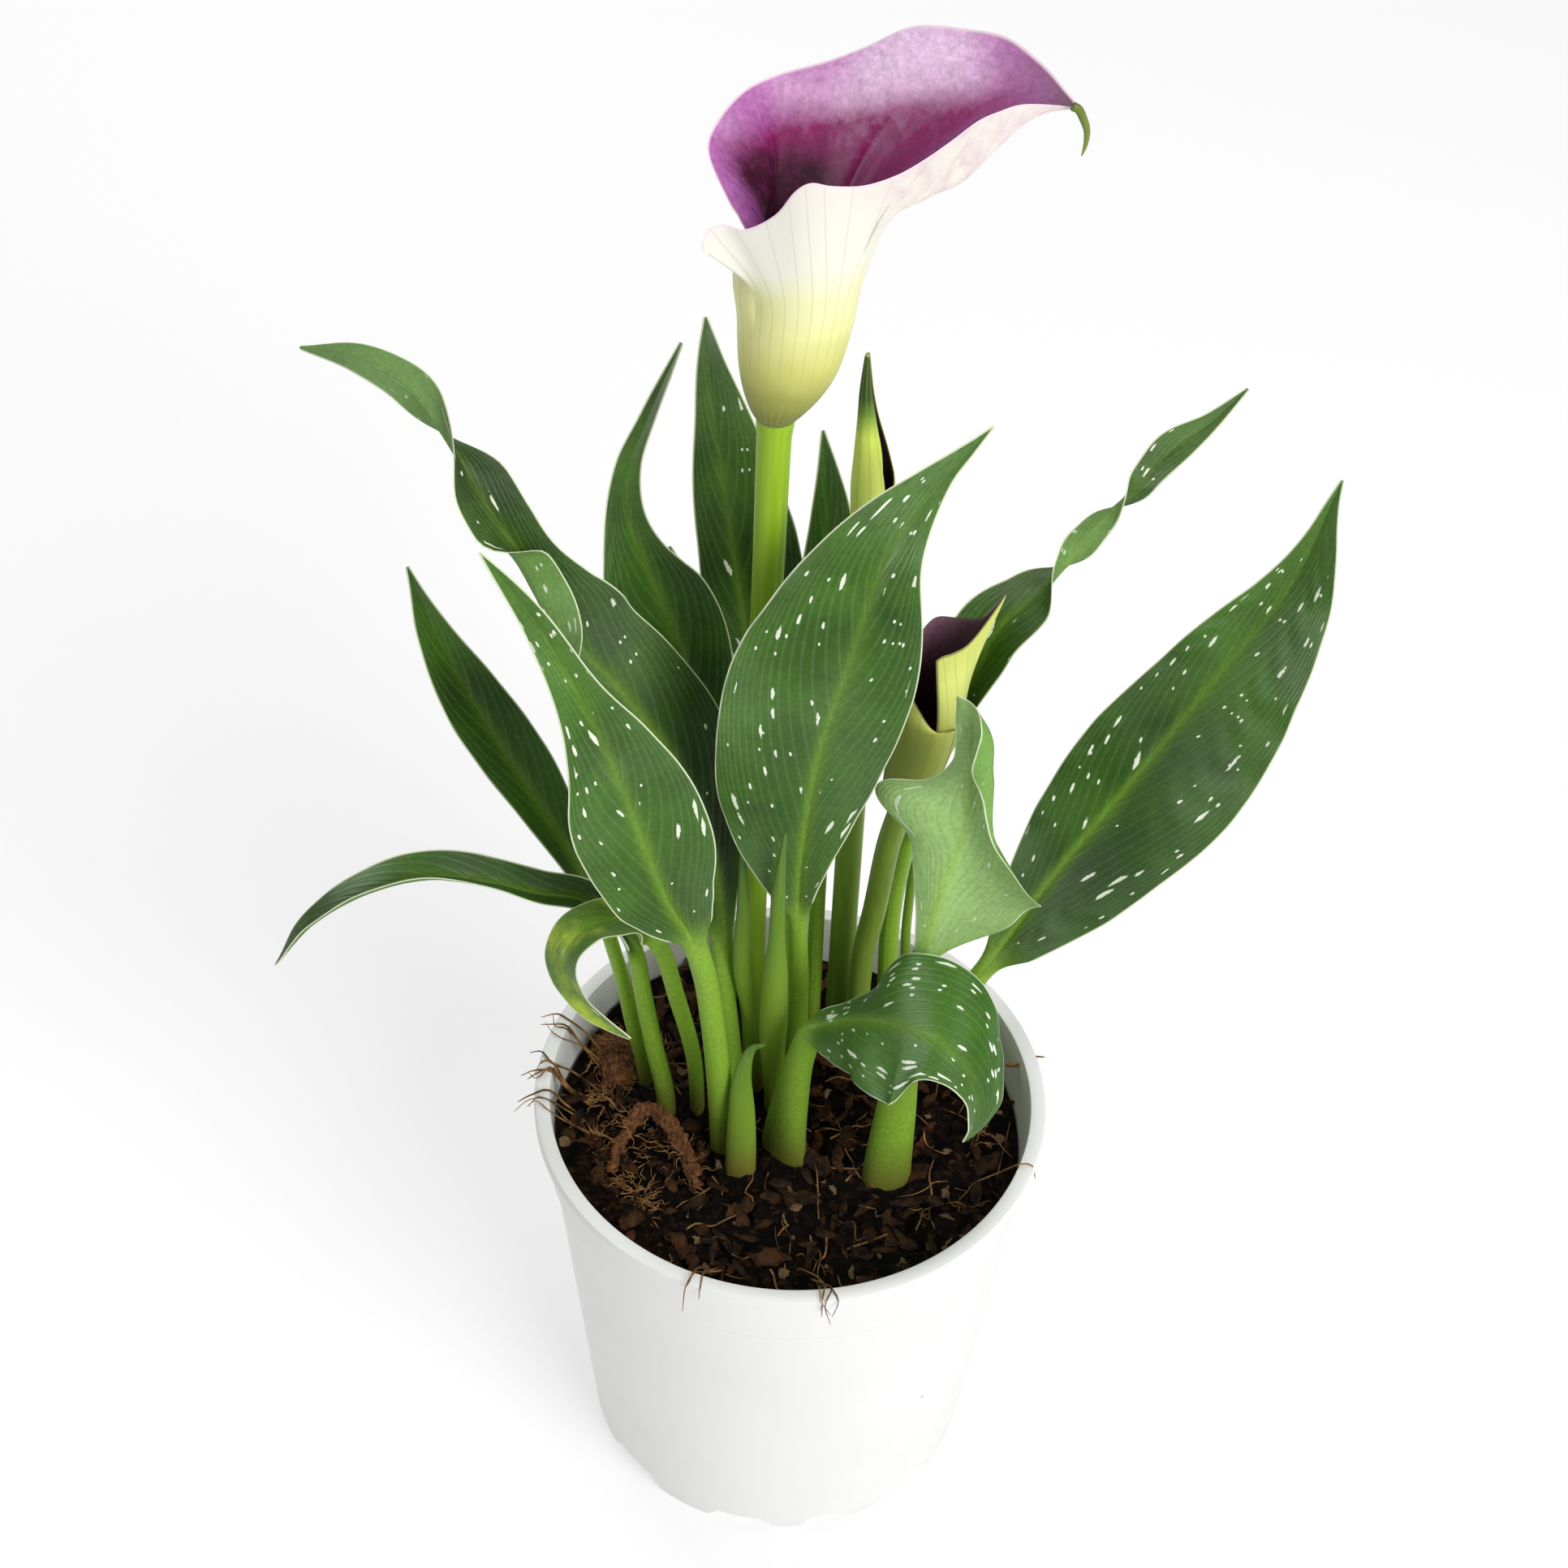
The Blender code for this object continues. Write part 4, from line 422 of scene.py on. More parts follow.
class Spine:
    """A smooth line through given points, measured along its length."""

    def __init__(self, points):
        line = np.array([p[:3] for p in points], float)
        line = np.vstack([2 * line[0] - line[1], line, 2 * line[-1] - line[-2]])
        share = (np.arange(LINE_STEPS) / LINE_STEPS)[:, None]
        pieces, own = [], []
        # A centripetal Catmull-Rom curve, which neither loops nor overshoots between uneven points
        for i in range(1, len(line) - 2):
            a, b, c, d = line[i - 1:i + 3]
            t1 = math.sqrt(np.linalg.norm(b - a))
            t2 = t1 + math.sqrt(np.linalg.norm(c - b))
            t3 = t2 + math.sqrt(np.linalg.norm(d - c))
            t = t1 + (t2 - t1) * share
            a1 = a + (b - a) * t / t1
            a2 = b + (c - b) * (t - t1) / (t2 - t1)
            a3 = c + (d - c) * (t - t2) / (t3 - t2)
            b1 = a1 + (a2 - a1) * t / t2
            b2 = a2 + (a3 - a2) * (t - t1) / (t3 - t1)
            pieces.append(b1 + (b2 - b1) * (t - t1) / (t2 - t1))
            own.append(i - 1 + share[:, 0])
        self.points = np.vstack(pieces + [line[-2]])
        self.own = np.append(np.concatenate(own), len(line) - 3)
        steps = np.linalg.norm(np.diff(self.points, axis=0), axis=1)
        self.far = np.append(0.0, np.cumsum(steps))
        self.length = self.far[-1]

    def at(self, distance):
        """The points at distances along the line."""
        return np.stack([np.interp(distance, self.far, self.points[:, k]) for k in range(3)], axis=-1)

    def heading(self, distance):
        """The directions of the line at distances along it."""
        reach = 0.004 * self.length
        return unit(self.at(distance + reach) - self.at(distance - reach))

    def distance_of(self, number):
        """How far along the line the numbered points lie, with fractions between the points."""
        return np.interp(number, self.own, self.far)


def deselect():
    """Leave edit mode and select nothing, so that the next operator acts on its own piece alone."""
    if bpy.context.object and bpy.context.object.mode != "OBJECT":
        bpy.ops.object.mode_set(mode="OBJECT")
    bpy.ops.object.select_all(action="DESELECT")


def close_shell(has_holes=True):
    """Join the active mesh's seams and fill its open ends if it has any, and turn its faces outward."""
    bpy.ops.object.mode_set(mode="EDIT")
    bpy.ops.mesh.select_all(action="SELECT")
    if has_holes:
        bpy.ops.mesh.remove_doubles(threshold=0.000001)
        bpy.ops.mesh.select_all(action="DESELECT")
        bpy.ops.mesh.select_non_manifold()
        bpy.ops.mesh.fill_holes(sides=0)
        bpy.ops.mesh.select_all(action="SELECT")
    bpy.ops.mesh.normals_make_consistent(inside=False)
    bpy.ops.object.mode_set(mode="OBJECT")


def finish_piece(piece, slot, *nodes):
    """The piece rides on the one body and stands for CAD nodes, which it hides. slot is not used."""
    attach(piece, "root")
    if nodes:
        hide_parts(*nodes)


def lofted(name, form, material, sharp, slot, node):
    """A grid primitive laid in rows of points, with the marks that its material reads. Edges that bend
    by more than sharp degrees stay hard.

    Leaves and spathes are made this way because no primitive or modifier gives their measured outlines.
    """
    grid, marks = form
    rows, columns = grid.shape[:2]
    deselect()
    bpy.ops.mesh.primitive_grid_add(x_subdivisions=columns, y_subdivisions=rows - 1, size=1.0)
    piece = bpy.context.object
    piece.name = piece.data.name = name
    mesh = piece.data
    around = np.append(np.arange(columns), 0)
    mesh.vertices.foreach_set("co", (grid[:, around] * MM).astype(np.float32).ravel())
    corner = np.empty(len(mesh.loops), np.int32)
    mesh.loops.foreach_get("vertex_index", corner)
    for mark_name, values in marks.items():
        flat = values[:, around].reshape(rows * (columns + 1), -1)[corner].astype(np.float32)
        vector = flat.shape[1] == 3
        attribute = mesh.attributes.new(mark_name, "FLOAT_VECTOR" if vector else "FLOAT", "CORNER")
        attribute.data.foreach_set("vector" if vector else "value", flat.ravel())
    mesh.materials.append(material)
    close_shell()
    bpy.ops.object.shade_smooth_by_angle(angle=math.radians(sharp))
    finish_piece(piece, slot, node)


# Materials and their nodes


def linear(hex_colour):
    """An sRGB hex colour as the linear colour that shaders take."""
    shares = [int(hex_colour[i:i + 2], 16) / 255 for i in (0, 2, 4)]
    return [s / 12.92 if s <= 0.04045 else ((s + 0.055) / 1.055) ** 2.4 for s in shares] + [1.0]


def new_material(name, roughness, ior, specular=0.5):
    """A material with its Principled shader, and the sockets that need no node already set."""
    material = bpy.data.materials.new(name)
    material.use_nodes = True
    shader = material.node_tree.nodes["Principled BSDF"]
    shader.inputs["Roughness"].default_value = roughness
    shader.inputs["IOR"].default_value = ior
    shader.inputs["Metallic"].default_value = 0.0
    shader.inputs["Specular IOR Level"].default_value = specular
    return material, material.node_tree, shader


def add_node(tree, kind, inputs=None, out=0, **settings):
    """Add a node with its settings, set or link its inputs, and give back one of its outputs."""
    made = tree.nodes.new(kind)
    for key, value in settings.items():
        setattr(made, key, value)
    for key, value in (inputs or {}).items():
        if isinstance(value, bpy.types.NodeSocket):
            tree.links.new(value, made.inputs[key])
        else:
            made.inputs[key].default_value = value
    return made.outputs[out]


def calc(tree, operation, first, second, **settings):
    """The sum, the ratio or the like of two numbers."""
    return add_node(tree, "ShaderNodeMath", {0: first, 1: second}, operation=operation, **settings)


def times(tree, first, second, **settings):
    """The product of two numbers."""
    return calc(tree, "MULTIPLY", first, second, **settings)


def remap(tree, value, low, high, to_low=0.0, to_high=1.0, smooth=False):
    """Read a value from low to high as one from to_low to to_high, and no further."""
    return add_node(tree, "ShaderNodeMapRange", {"Value": value, "From Min": low, "From Max": high,
                                                 "To Min": to_low, "To Max": to_high},
                    interpolation_type="SMOOTHSTEP" if smooth else "LINEAR")


def clouds(tree, spot, scale, detail=2.0, roughness=0.5, **settings):
    """Soft noise, with scale cells to the metre."""
    return add_node(tree, "ShaderNodeTexNoise", {"Vector": spot, "Scale": scale, "Detail": detail,
                                                 "Roughness": roughness}, **settings)


def blend(tree, share, below, above, blend_type="MIX"):
    """Lay a share of one colour over another. Each is a socket or a hex colour."""
    below, above = [linear(part) if isinstance(part, str) else part for part in (below, above)]
    return add_node(tree, "ShaderNodeMix", {0: share, 6: below, 7: above}, out=2, data_type="RGBA",
                    blend_type=blend_type)


def parts_of(tree, vector):
    """The three parts of a vector."""
    return add_node(tree, "ShaderNodeSeparateXYZ", {0: vector}).node.outputs


def mark(tree, name):
    """The three numbers that a piece keeps under one name at each of its points."""
    return parts_of(tree, add_node(tree, "ShaderNodeAttribute", out="Vector", attribute_name=name))


def one_mark(tree, name):
    """The single number that a piece keeps under one name at each of its points."""
    return add_node(tree, "ShaderNodeAttribute", out="Fac", attribute_name=name)


def own_space(tree):
    """The place of each point in its piece's own space, in metres."""
    return add_node(tree, "ShaderNodeTexCoord", out="Object")


def ramp(tree, factor, stops):
    """A colour that follows a factor through stops, each a place from 0 to 1 and a hex colour."""
    colour = add_node(tree, "ShaderNodeValToRGB", {"Fac": factor})
    elements = colour.node.color_ramp.elements
    while len(elements) > 1:
        elements.remove(elements[-1])
    elements[0].position = stops[0][0]
    elements[0].color = linear(stops[0][1])
    for place, stop_hex in stops[1:]:
        elements.new(place).color = linear(stop_hex)
    return colour


def specks(tree, spot, scale, rarity):
    """The distance to the nearest of many scattered points, and 1 round the few that are kept."""
    far = add_node(tree, "ShaderNodeTexVoronoi", {"Vector": spot, "Scale": scale}, out="Distance")
    draw = add_node(tree, "ShaderNodeSeparateColor", {0: far.node.outputs["Color"]})
    return far, calc(tree, "GREATER_THAN", draw, rarity)


def coat(tree, shader, colour, relief, strength, distance):
    """Give the shader its colour, and let a relief tilt its surface."""
    tree.links.new(colour, shader.inputs["Base Color"])
    bump = add_node(tree, "ShaderNodeBump", {"Height": relief, "Strength": strength,
                                             "Distance": distance}, out="Normal")
    tree.links.new(bump, shader.inputs["Normal"])


def leaf_material(name, deep, fresh, under, roughness, spots, yellow=0.0, painted_sheen=0.26):
    """Living calla leaf: a glossy green skin, lighter veins along its length, clear white dashes between
    them, a cream margin and a yellow-green rib, with painted sheen in pale patches and painted shade low in
    the plant. The underside is duller and paler."""
    material, tree, shader = new_material(name, roughness, 1.42, 0.28)
    along, vein, pitch = mark(tree, "vein_place")
    pale_share, edge, spotty = mark(tree, "tone")
    below = one_mark(tree, "under")
    spot = own_space(tree)
    height = parts_of(tree, spot)[2]
    lines = []
    for step, low, high in ((MAIN_VEIN_STEP, 0.1, 0.45), (FINE_VEIN_STEP, 0.03, 0.2)):
        near = times(tree, calc(tree, "PINGPONG", vein, step / 2), pitch)
        lines.append(remap(tree, near, low, high, 1.0, 0.0, smooth=True))
    veins = calc(tree, "MAXIMUM", lines[0], times(tree, lines[1], 0.3))
    # The green drifts from deep to fresh in patches. Pale patches of painted sheen lie over it, and painted
    # shade darkens it low in the plant
    colour = blend(tree, remap(tree, clouds(tree, spot, 42.0, 3.0), 0.32, 0.68), deep, fresh)
    colour = blend(tree, times(tree, veins, 0.09), colour, "A9C98A")
    back = blend(tree, times(tree, veins, 0.14), under, "5E7F4A")
    colour = blend(tree, below, colour, back)
    # Painted sheen: pale bluish-green patches stand in for the gloss of the lights on the blade
    patch = remap(tree, clouds(tree, spot, 19.0), 0.48, 0.68, 0.0, painted_sheen)
    colour = blend(tree, patch, colour, "86A672")
    # Painted shade: from 0.25 m down to 0.15 m up, the colour darkens to 0.62 of itself, where the lower
    # leaves lie in the plant's shade
    colour = blend(tree, 1.0, colour, remap(tree, height, 0.15, 0.25, 0.62, 1.0), "MULTIPLY")
    if yellow:
        streak = remap(tree, clouds(tree, spot, 70.0, 4.0), 0.62 - yellow, 0.72)
        colour = blend(tree, streak, colour, "B9CF3F")
    colour = blend(tree, pale_share, colour, "86AE38")
    speckle = remap(tree, clouds(tree, spot, 900.0), 0.3, 0.7, 0.88, 1.12)
    colour = blend(tree, 1.0, colour, speckle, "MULTIPLY")
    # Clear dashes 1 to 7 mm long and about 1 mm wide, with ragged ends
    cell_long, cell_wide = DASH_CELL
    cell = add_node(tree, "ShaderNodeCombineXYZ", {0: calc(tree, "DIVIDE", along, cell_long),
                                                   1: calc(tree, "DIVIDE", vein, cell_wide)})
    seeds = add_node(tree, "ShaderNodeTexVoronoi", {"Vector": cell, "Scale": 1.0, "Randomness": 0.9},
                     out="Position", voronoi_dimensions="2D")
    draw = add_node(tree, "ShaderNodeSeparateColor", {0: seeds.node.outputs["Color"]}).node.outputs
    off = add_node(tree, "ShaderNodeVectorMath", {0: cell, 1: seeds}, operation="SUBTRACT")
    off_y, off_x, _ = parts_of(tree, off)
    size = calc(tree, "POWER", draw[1], 3.0)
    off_y = calc(tree, "DIVIDE", times(tree, off_y, cell_long), remap(tree, size, 0.0, 1.0, 0.45, 3.6))
    off_x = times(tree, times(tree, off_x, cell_wide), pitch)
    off_x = calc(tree, "DIVIDE", off_x, remap(tree, size, 0.0, 1.0, 0.3, 0.62))
    off = add_node(tree, "ShaderNodeCombineXYZ", {0: off_y, 1: off_x})
    far = add_node(tree, "ShaderNodeVectorMath", {0: off}, out="Value", operation="LENGTH")
    ragged = remap(tree, clouds(tree, spot, 1400.0, 1.0), 0.0, 1.0, -0.5, 0.5)
    dash = remap(tree, calc(tree, "ADD", far, ragged), 0.7, 1.0, 1.0, 0.0)
    dash = times(tree, dash, calc(tree, "LESS_THAN", draw[0], times(tree, spotty, spots)))
    clear = times(tree, dash, remap(tree, below, 0.0, 1.0, 0.95, 0.55))
    colour = blend(tree, clear, colour, "F0F6E2")
    # The margin is cream where the green layer ends, and the foot turns brown where it meets the mix
    colour = blend(tree, remap(tree, edge, 0.18, 0.42, 0.85, 0.0), colour, "E9F0CE")
    foot = remap(tree, height, 0.108, 0.128, 0.65, 0.0, smooth=True)
    colour = blend(tree, foot, colour, "6B4A2A")
    tree.links.new(remap(tree, below, 0.0, 1.0, roughness, 0.62), shader.inputs["Roughness"])
    # Veins lie in shallow furrows, and the skin between them has a fine grain
    grain = times(tree, clouds(tree, spot, 1500.0, 1.0), 0.25)
    coat(tree, shader, colour, calc(tree, "SUBTRACT", grain, veins), 0.4, 0.00018)
    return material


def stalk_material(name, stops, fibre_hex, roughness=0.4):
    """Fresh stalk: vivid yellow-green, with fine lengthwise fibres and a brown foot."""
    material, tree, shader = new_material(name, roughness, 1.42, 0.3)
    spot = own_space(tree)
    # Fibres about half a millimetre wide and three centimetres long
    long = add_node(tree, "ShaderNodeMapping", {"Vector": spot, "Scale": (1.0, 1.0, 0.03)})
    fibre = clouds(tree, long, 1100.0)
    colour = ramp(tree, one_mark(tree, "way"), stops)
    colour = blend(tree, remap(tree, fibre, 0.35, 0.65, 0.35, 0.0), colour, fibre_hex)
    foot = remap(tree, parts_of(tree, spot)[2], 0.106, 0.126, 0.8, 0.0, smooth=True)
    coat(tree, shader, blend(tree, foot, colour, "7A6232"), fibre, 0.35, 0.0002)
    return material


def spathe_material(name, outside, inside, outer_vein, inner_vein, rim, vein_step, mottle_hex=None,
                    blot_hexes=()):
    """Calla spathe: velvety skin whose outside and inside each fade from base to rim, with fine lengthwise
    veins that fan out, soft mottling and a thin pale rim. Given blot colours, the inside also takes dark and
    magenta blots and a pale painted highlight."""
    material, tree, shader = new_material(name, 0.55, 1.4, 0.3)
    shader.inputs["Sheen Weight"].default_value = 0.08
    shader.inputs["Sheen Roughness"].default_value = 0.4
    spot = own_space(tree)
    x, _, z = parts_of(tree, spot)
    within, height, edge = mark(tree, "tone")
    along, direction, pitch = mark(tree, "vein_place")
    height = calc(tree, "ADD", height, remap(tree, clouds(tree, spot, 60.0), 0.0, 1.0, -0.07, 0.07))
    out_colour, in_colour = ramp(tree, height, outside), ramp(tree, height, inside)
    # Lengthwise streaks inside follow the direction round the tube
    streak = add_node(tree, "ShaderNodeCombineXYZ", {0: direction, 1: along})
    streak = add_node(tree, "ShaderNodeVectorMath", {0: streak, 1: (0.35, 0.03, 0.0)},
                      operation="MULTIPLY")
    streak = remap(tree, clouds(tree, streak, 1.0, 3.0, 0.6, noise_dimensions="2D"), 0.35, 0.65)
    streak = times(tree, remap(tree, height, 0.55, 0.95, 0.6, 0.12), streak)
    in_colour = blend(tree, streak, in_colour, inner_vein)
    # Fine veins outside, one for each vein_step degrees
    near = times(tree, calc(tree, "PINGPONG", direction, vein_step / 2), pitch)
    line = remap(tree, near, 0.0, 0.26, 0.28, 0.0, smooth=True)
    out_colour = blend(tree, line, out_colour, outer_vein)
    if mottle_hex:
        right, high = [remap(tree, part, start, start + fade)
                       for part, start, fade in zip((x, z), MOTTLE_FROM, (0.012, 0.006))]
        cloud = remap(tree, clouds(tree, spot, 260.0, 5.0, 0.7), 0.42, 0.72, 0.1, 0.5)
        out_colour = blend(tree, times(tree, times(tree, right, high), cloud), out_colour, mottle_hex)
    if blot_hexes:
        # The first, pale share is a painted highlight. The others make the inside more magenta or darker
        dark, magenta, pale = mark(tree, "blush_and_highlight")
        patchy = remap(tree, clouds(tree, spot, 330.0, 6.0, 0.75), 0.3, 0.7, 0.6, 1.3)
        for share, blot_hex in zip((pale, magenta, dark), blot_hexes):
            share = times(tree, share, patchy, use_clamp=True)
            in_colour = blend(tree, share, in_colour, blot_hex)
        # Towards the hooked tip the inside turns a brownish purple
        in_colour = blend(tree, remap(tree, x, 0.03, 0.046, 0.0, 0.9), in_colour, "5F4450")
    colour = blend(tree, within, out_colour, in_colour)
    velvet = clouds(tree, spot, 700.0, 4.0, 0.7)
    grain = remap(tree, velvet, 0.3, 0.7, 0.74, 1.26)
    grain = add_node(tree, "ShaderNodeMix", {0: within, 2: 1.0, 3: grain}, data_type="FLOAT")
    colour = blend(tree, 1.0, colour, grain, "MULTIPLY")
    colour = blend(tree, remap(tree, edge, 0.2, 0.7, 0.8, 0.0), colour, rim)
    coat(tree, shader, colour, calc(tree, "SUBTRACT", velvet, line), 0.4, 0.00015)
    return material


def plastic_material(name, colour_hex):
    """Moulded white polypropylene: satin, faintly cloudy, with a few specks of dust and mix on it."""
    material, tree, shader = new_material(name, 0.38, 1.49)
    spot = own_space(tree)
    dust = remap(tree, clouds(tree, spot, 25.0, 4.0), 0.45, 0.8, 0.0, 0.25)
    colour = blend(tree, dust, colour_hex, "DDDAD2")
    far, kept = specks(tree, spot, 160.0, 0.985)
    colour = blend(tree, times(tree, remap(tree, far, 0.05, 0.09, 0.7, 0.0), kept), colour, "6B5340")
    coat(tree, shader, colour, clouds(tree, spot, 1800.0, 1.0), 0.08, 0.0001)
    return material


def mix_material(name):
    """Moist potting mix: dark peat crumbs with brown grains and pale flecks. Its colour follows the relief,
    so that the hollows are near-black: painted shade on top of the peat's own dark browns.
    """
    material, tree, shader = new_material(name, 0.9, 1.4, 0.12)
    spot = own_space(tree)
    grain = clouds(tree, spot, 380.0, 6.0, 0.75)
    # Painted shade: the low points of the relief take the near-black end of the ramp
    colour = ramp(tree, grain, [(0.36, "030202"), (0.5, "0C0704"), (0.58, "26170C"), (0.68, "4A301A"),
                                (0.82, "73522F")])
    colour = blend(tree, specks(tree, spot, 420.0, 0.965)[1], colour, "8C7355")
    coat(tree, shader, colour, grain, 1.0, 0.002)
    return material


def husk_material(name):
    """Coconut husk: brown, dull and hairy, with lighter fibres on a dark ground."""
    material, tree, shader = new_material(name, 0.9, 1.4, 0.15)
    hair = clouds(tree, own_space(tree), 900.0, 5.0, 0.7)
    colour = ramp(tree, hair, [(0.3, "2A180E"), (0.5, "6A4326"), (0.7, "9A6E46")])
    coat(tree, shader, colour, hair, 1.0, 0.0007)
    return material


def debris_material(name, dark, light):
    """Dry bark or fibre: brown with paler and darker stretches, and quite dull."""
    material, tree, shader = new_material(name, 0.85, 1.4, 0.15)
    grain = clouds(tree, own_space(tree), 170.0, 4.0, 0.7)
    tree.links.new(ramp(tree, grain, [(0.36, dark), (0.64, light)]), shader.inputs["Base Color"])
    return material


# Leaves and stalks


def half_blade(leaf, way, width, form, left):
    """One half of a blade: half width, then across, above and slope at every part, a row for each way."""
    low, high = leaf.get("crease", (0, 1))
    half = np.maximum(width[:, 0 if left else 1], THINNEST_HALF)[:, None]
    fold, curl = form[:, :1], form[:, 1:2] if left else form[:, 2:3]

    def slope(part):
        bent = np.clip((part - low) / (high - low), 0.0, 1.0)
        return np.radians(fold * ease(part / 0.04) + curl * bent)

    angles = slope((np.arange(CURL_STEPS) + 0.5)[None] / CURL_STEPS)
    ends = np.arange(CURL_STEPS + 1) / CURL_STEPS
    reaches = []
    for share in (np.cos(angles), np.sin(angles)):
        line = np.pad(np.cumsum(share, axis=1), ((0, 0), (1, 0))) / CURL_STEPS
        reaches.append(np.array([np.interp(LEAF_PARTS, ends, row) for row in line]) * half)
    across, above = reaches
    # The margin waves, with smaller ruffles on the waves, and both fade towards the ends of the blade
    waves, height, start = leaf["wave"]
    phase = math.radians(start) + (0 if left else 1.7)
    fade = ease(way / 0.15) * ease((1 - way) / 0.12)
    size = np.minimum(half / 15, 1)
    wave = height * np.sin(2 * math.pi * waves * way + phase)
    ruffle = 0.35 * np.sin(2 * math.pi * (waves * 3.7) * way + 2.6 * phase)
    above = above + (wave + ruffle * LEAF_PARTS ** 2) * size * LEAF_PARTS ** 2 * fade
    return half, across, above, slope(LEAF_PARTS[None])


def leaf_form(leaf):
    """The points of a leaf in rows from the foot of the stalk to the tip, and what its material reads."""
    spine = Spine(leaf["spine"])
    start = spine.distance_of(leaf["blade"])
    blade = spine.length - start
    places = np.concatenate([np.linspace(0, start, STALK_ROWS, endpoint=False),
                             np.linspace(start, spine.length, BLADE_ROWS)])
    way = np.clip((places - start) / blade, 0, 1)
    facing, width, form = [read_rows(leaf[key], way) for key in ("face", "width", "form")]
    heading = spine.heading(places)
    face = square_to(heading, facing[:, :3])
    side = np.cross(heading, face)
    turn = np.radians(facing[:, 3:4])
    face, side = face * np.cos(turn) + side * np.sin(turn), side * np.cos(turn) - face * np.sin(turn)
    way = way[:, None]
    foot_half, top_half, foot_depth = leaf["stalk"]
    up_stalk = ease(places / start)[:, None]
    round_half = foot_half + (top_half - foot_half) * up_stalk
    round_deep = round_half * (foot_depth + (1 - foot_depth) * up_stalk)
    spread = ease((places - start) / (0.10 * blade))[:, None]
    # The rib stands out below the blade and has a groove on top, both weaker towards the tip
    rib_high = top_half * (1 - way) ** 1.3 * 0.55 + 0.12
    rib_wide = np.maximum(1.6 * top_half * (1 - 0.6 * way), 0.8)
    halves = []
    for left in (True, False):
        sign = -1 if left else 1
        half, across, above, slope = half_blade(leaf, way, width, form, left)
        reach = LEAF_PARTS * half
        margin = half * (1 - LEAF_PARTS)
        taper = np.sqrt(np.clip(margin / 0.4, 0, 1))
        thick = (MARGIN_THICK + MIDRIB_THICK * (1 - LEAF_PARTS) * (1 - way)) * taper
        groove = 0.4 * (1 - way) ** 0.6 * np.exp(-(reach / 0.9) ** 2)
        under = thick + rib_high * np.exp(-(reach / rib_wide) ** 2)
        # The blade swells a little between its main veins
        along = way * blade + 0 * LEAF_PARTS
        widest = np.max(half)
        bend = -np.log(1 - VEIN_BEND * LEAF_PARTS) / VEIN_BEND
        vein = along - VEIN_LEAN * widest * bend + (0 if left else VEIN_SHIFT)
        lean = VEIN_LEAN * widest / (1 - VEIN_BEND * LEAF_PARTS) / half
        pitch = 1 / np.sqrt(1 + lean ** 2)
        swell = 0.13 * np.cos(2 * math.pi * vein / MAIN_VEIN_STEP)
        swell = swell * ease(LEAF_PARTS / 0.15) * ease((1 - LEAF_PARTS) / 0.2)
        above = above + swell * np.minimum(half / 10, 1)
        # Above the mix the leaf is a round stalk, which opens into the blade
        middle = np.stack([sign * across, above], -1)
        up = np.stack([-np.sin(slope) * sign, np.cos(slope)], -1)
        angle = np.interp(sign * LEAF_PARTS, [-1, -0.66, -0.3, 0, 0.3, 0.66, 1],
                          np.radians([177, 141, 116, 90, 64, 39, 3]))
        ring = np.stack([round_half * np.cos(angle), round_deep * np.sin(angle)], -1)
        top = ring + (middle + up * (thick - groove)[..., None] - ring) * spread[..., None]
        ring = ring * (1, -1)
        low = ring + (middle - up * under[..., None] - ring) * spread[..., None]
        # What the material reads: share of rib green, millimetres to the margin, where dashes may lie
        pale = 0.7 * np.exp(-(reach / 1.6) ** 2) * (1 - way) ** 1.1
        pale = 1 - (1 - np.maximum(pale, 0.5 * (1 - ease(way / 0.13)))) * spread
        spotty = ease((LEAF_PARTS - 0.08) / 0.1) * ease((0.93 - LEAF_PARTS) / 0.08)
        spotty = spotty * ease((way - 0.07) / 0.1) * ease((0.93 - way) / 0.1) * spread
        edge = 5 + (np.minimum(margin, 5) - 5) * spread
        order = slice(None, None, -1) if left else slice(1, None)
        halves.append([part[:, order] for part in (top, low, np.stack([along, vein, pitch], -1),
                                                   np.stack([pale, edge, spotty], -1))])
    top, low, place, tone = [np.concatenate(pair, axis=1) for pair in zip(*halves)]
    flat, place, tone = [np.concatenate([over, beneath[:, ::-1]], axis=1)
                         for over, beneath in ((top, low), (place, place), (tone, tone))]
    grid = spine.at(places)[:, None] + side[:, None] * flat[..., :1] + face[:, None] * flat[..., 1:]
    columns = flat.shape[1]
    under = (np.arange(columns) >= columns // 2) * spread
    return grid, {"vein_place": place, "tone": tone, "under": under}


def tube_form(points, halves, depth=1.0, sides=48, count=90, front=(0, -0.9, 0.4)):
    """The points of a round stalk in rows from foot to top, and how far up it each row lies."""
    spine = Spine(points)
    ways = np.linspace(0, 1, count)
    places = ways * spine.length
    heading = spine.heading(places)
    face = square_to(heading, np.array(front))
    side = np.cross(heading, face)
    half = read_rows(halves, ways)[:, None]
    turn = np.linspace(0, 2 * math.pi, sides, endpoint=False)[None, :, None]
    ring = side[:, None] * np.cos(turn) * half + face[:, None] * np.sin(turn) * half * depth
    return spine.at(places)[:, None] + ring, {"way": np.repeat(ways[:, None], sides, 1)}


# Blooms


def refine(columns, closed):
    """Finer columns through given ones, as a Catmull-Rom curve. columns has its points on axis 1."""
    count = columns.shape[1]
    out = []
    for k in range(count if closed else count - 1):
        if closed:
            a, b, c, d = [columns[:, (k + s) % count] for s in (-1, 0, 1, 2)]
        else:
            b, c = columns[:, k], columns[:, k + 1]
            a = columns[:, k - 1] if k else 2 * b - c
            d = columns[:, k + 2] if k + 2 < count else 2 * c - b
        for t in np.arange(SPATHE_STEPS) / SPATHE_STEPS:
            out.append(0.5 * (2 * b + (c - a) * t + (2 * a - 5 * b + 4 * c - d) * t * t
                              + (3 * b - a - 3 * c + d) * t ** 3))
    if not closed:
        out.append(columns[:, -1])
    return np.stack(out, axis=1)


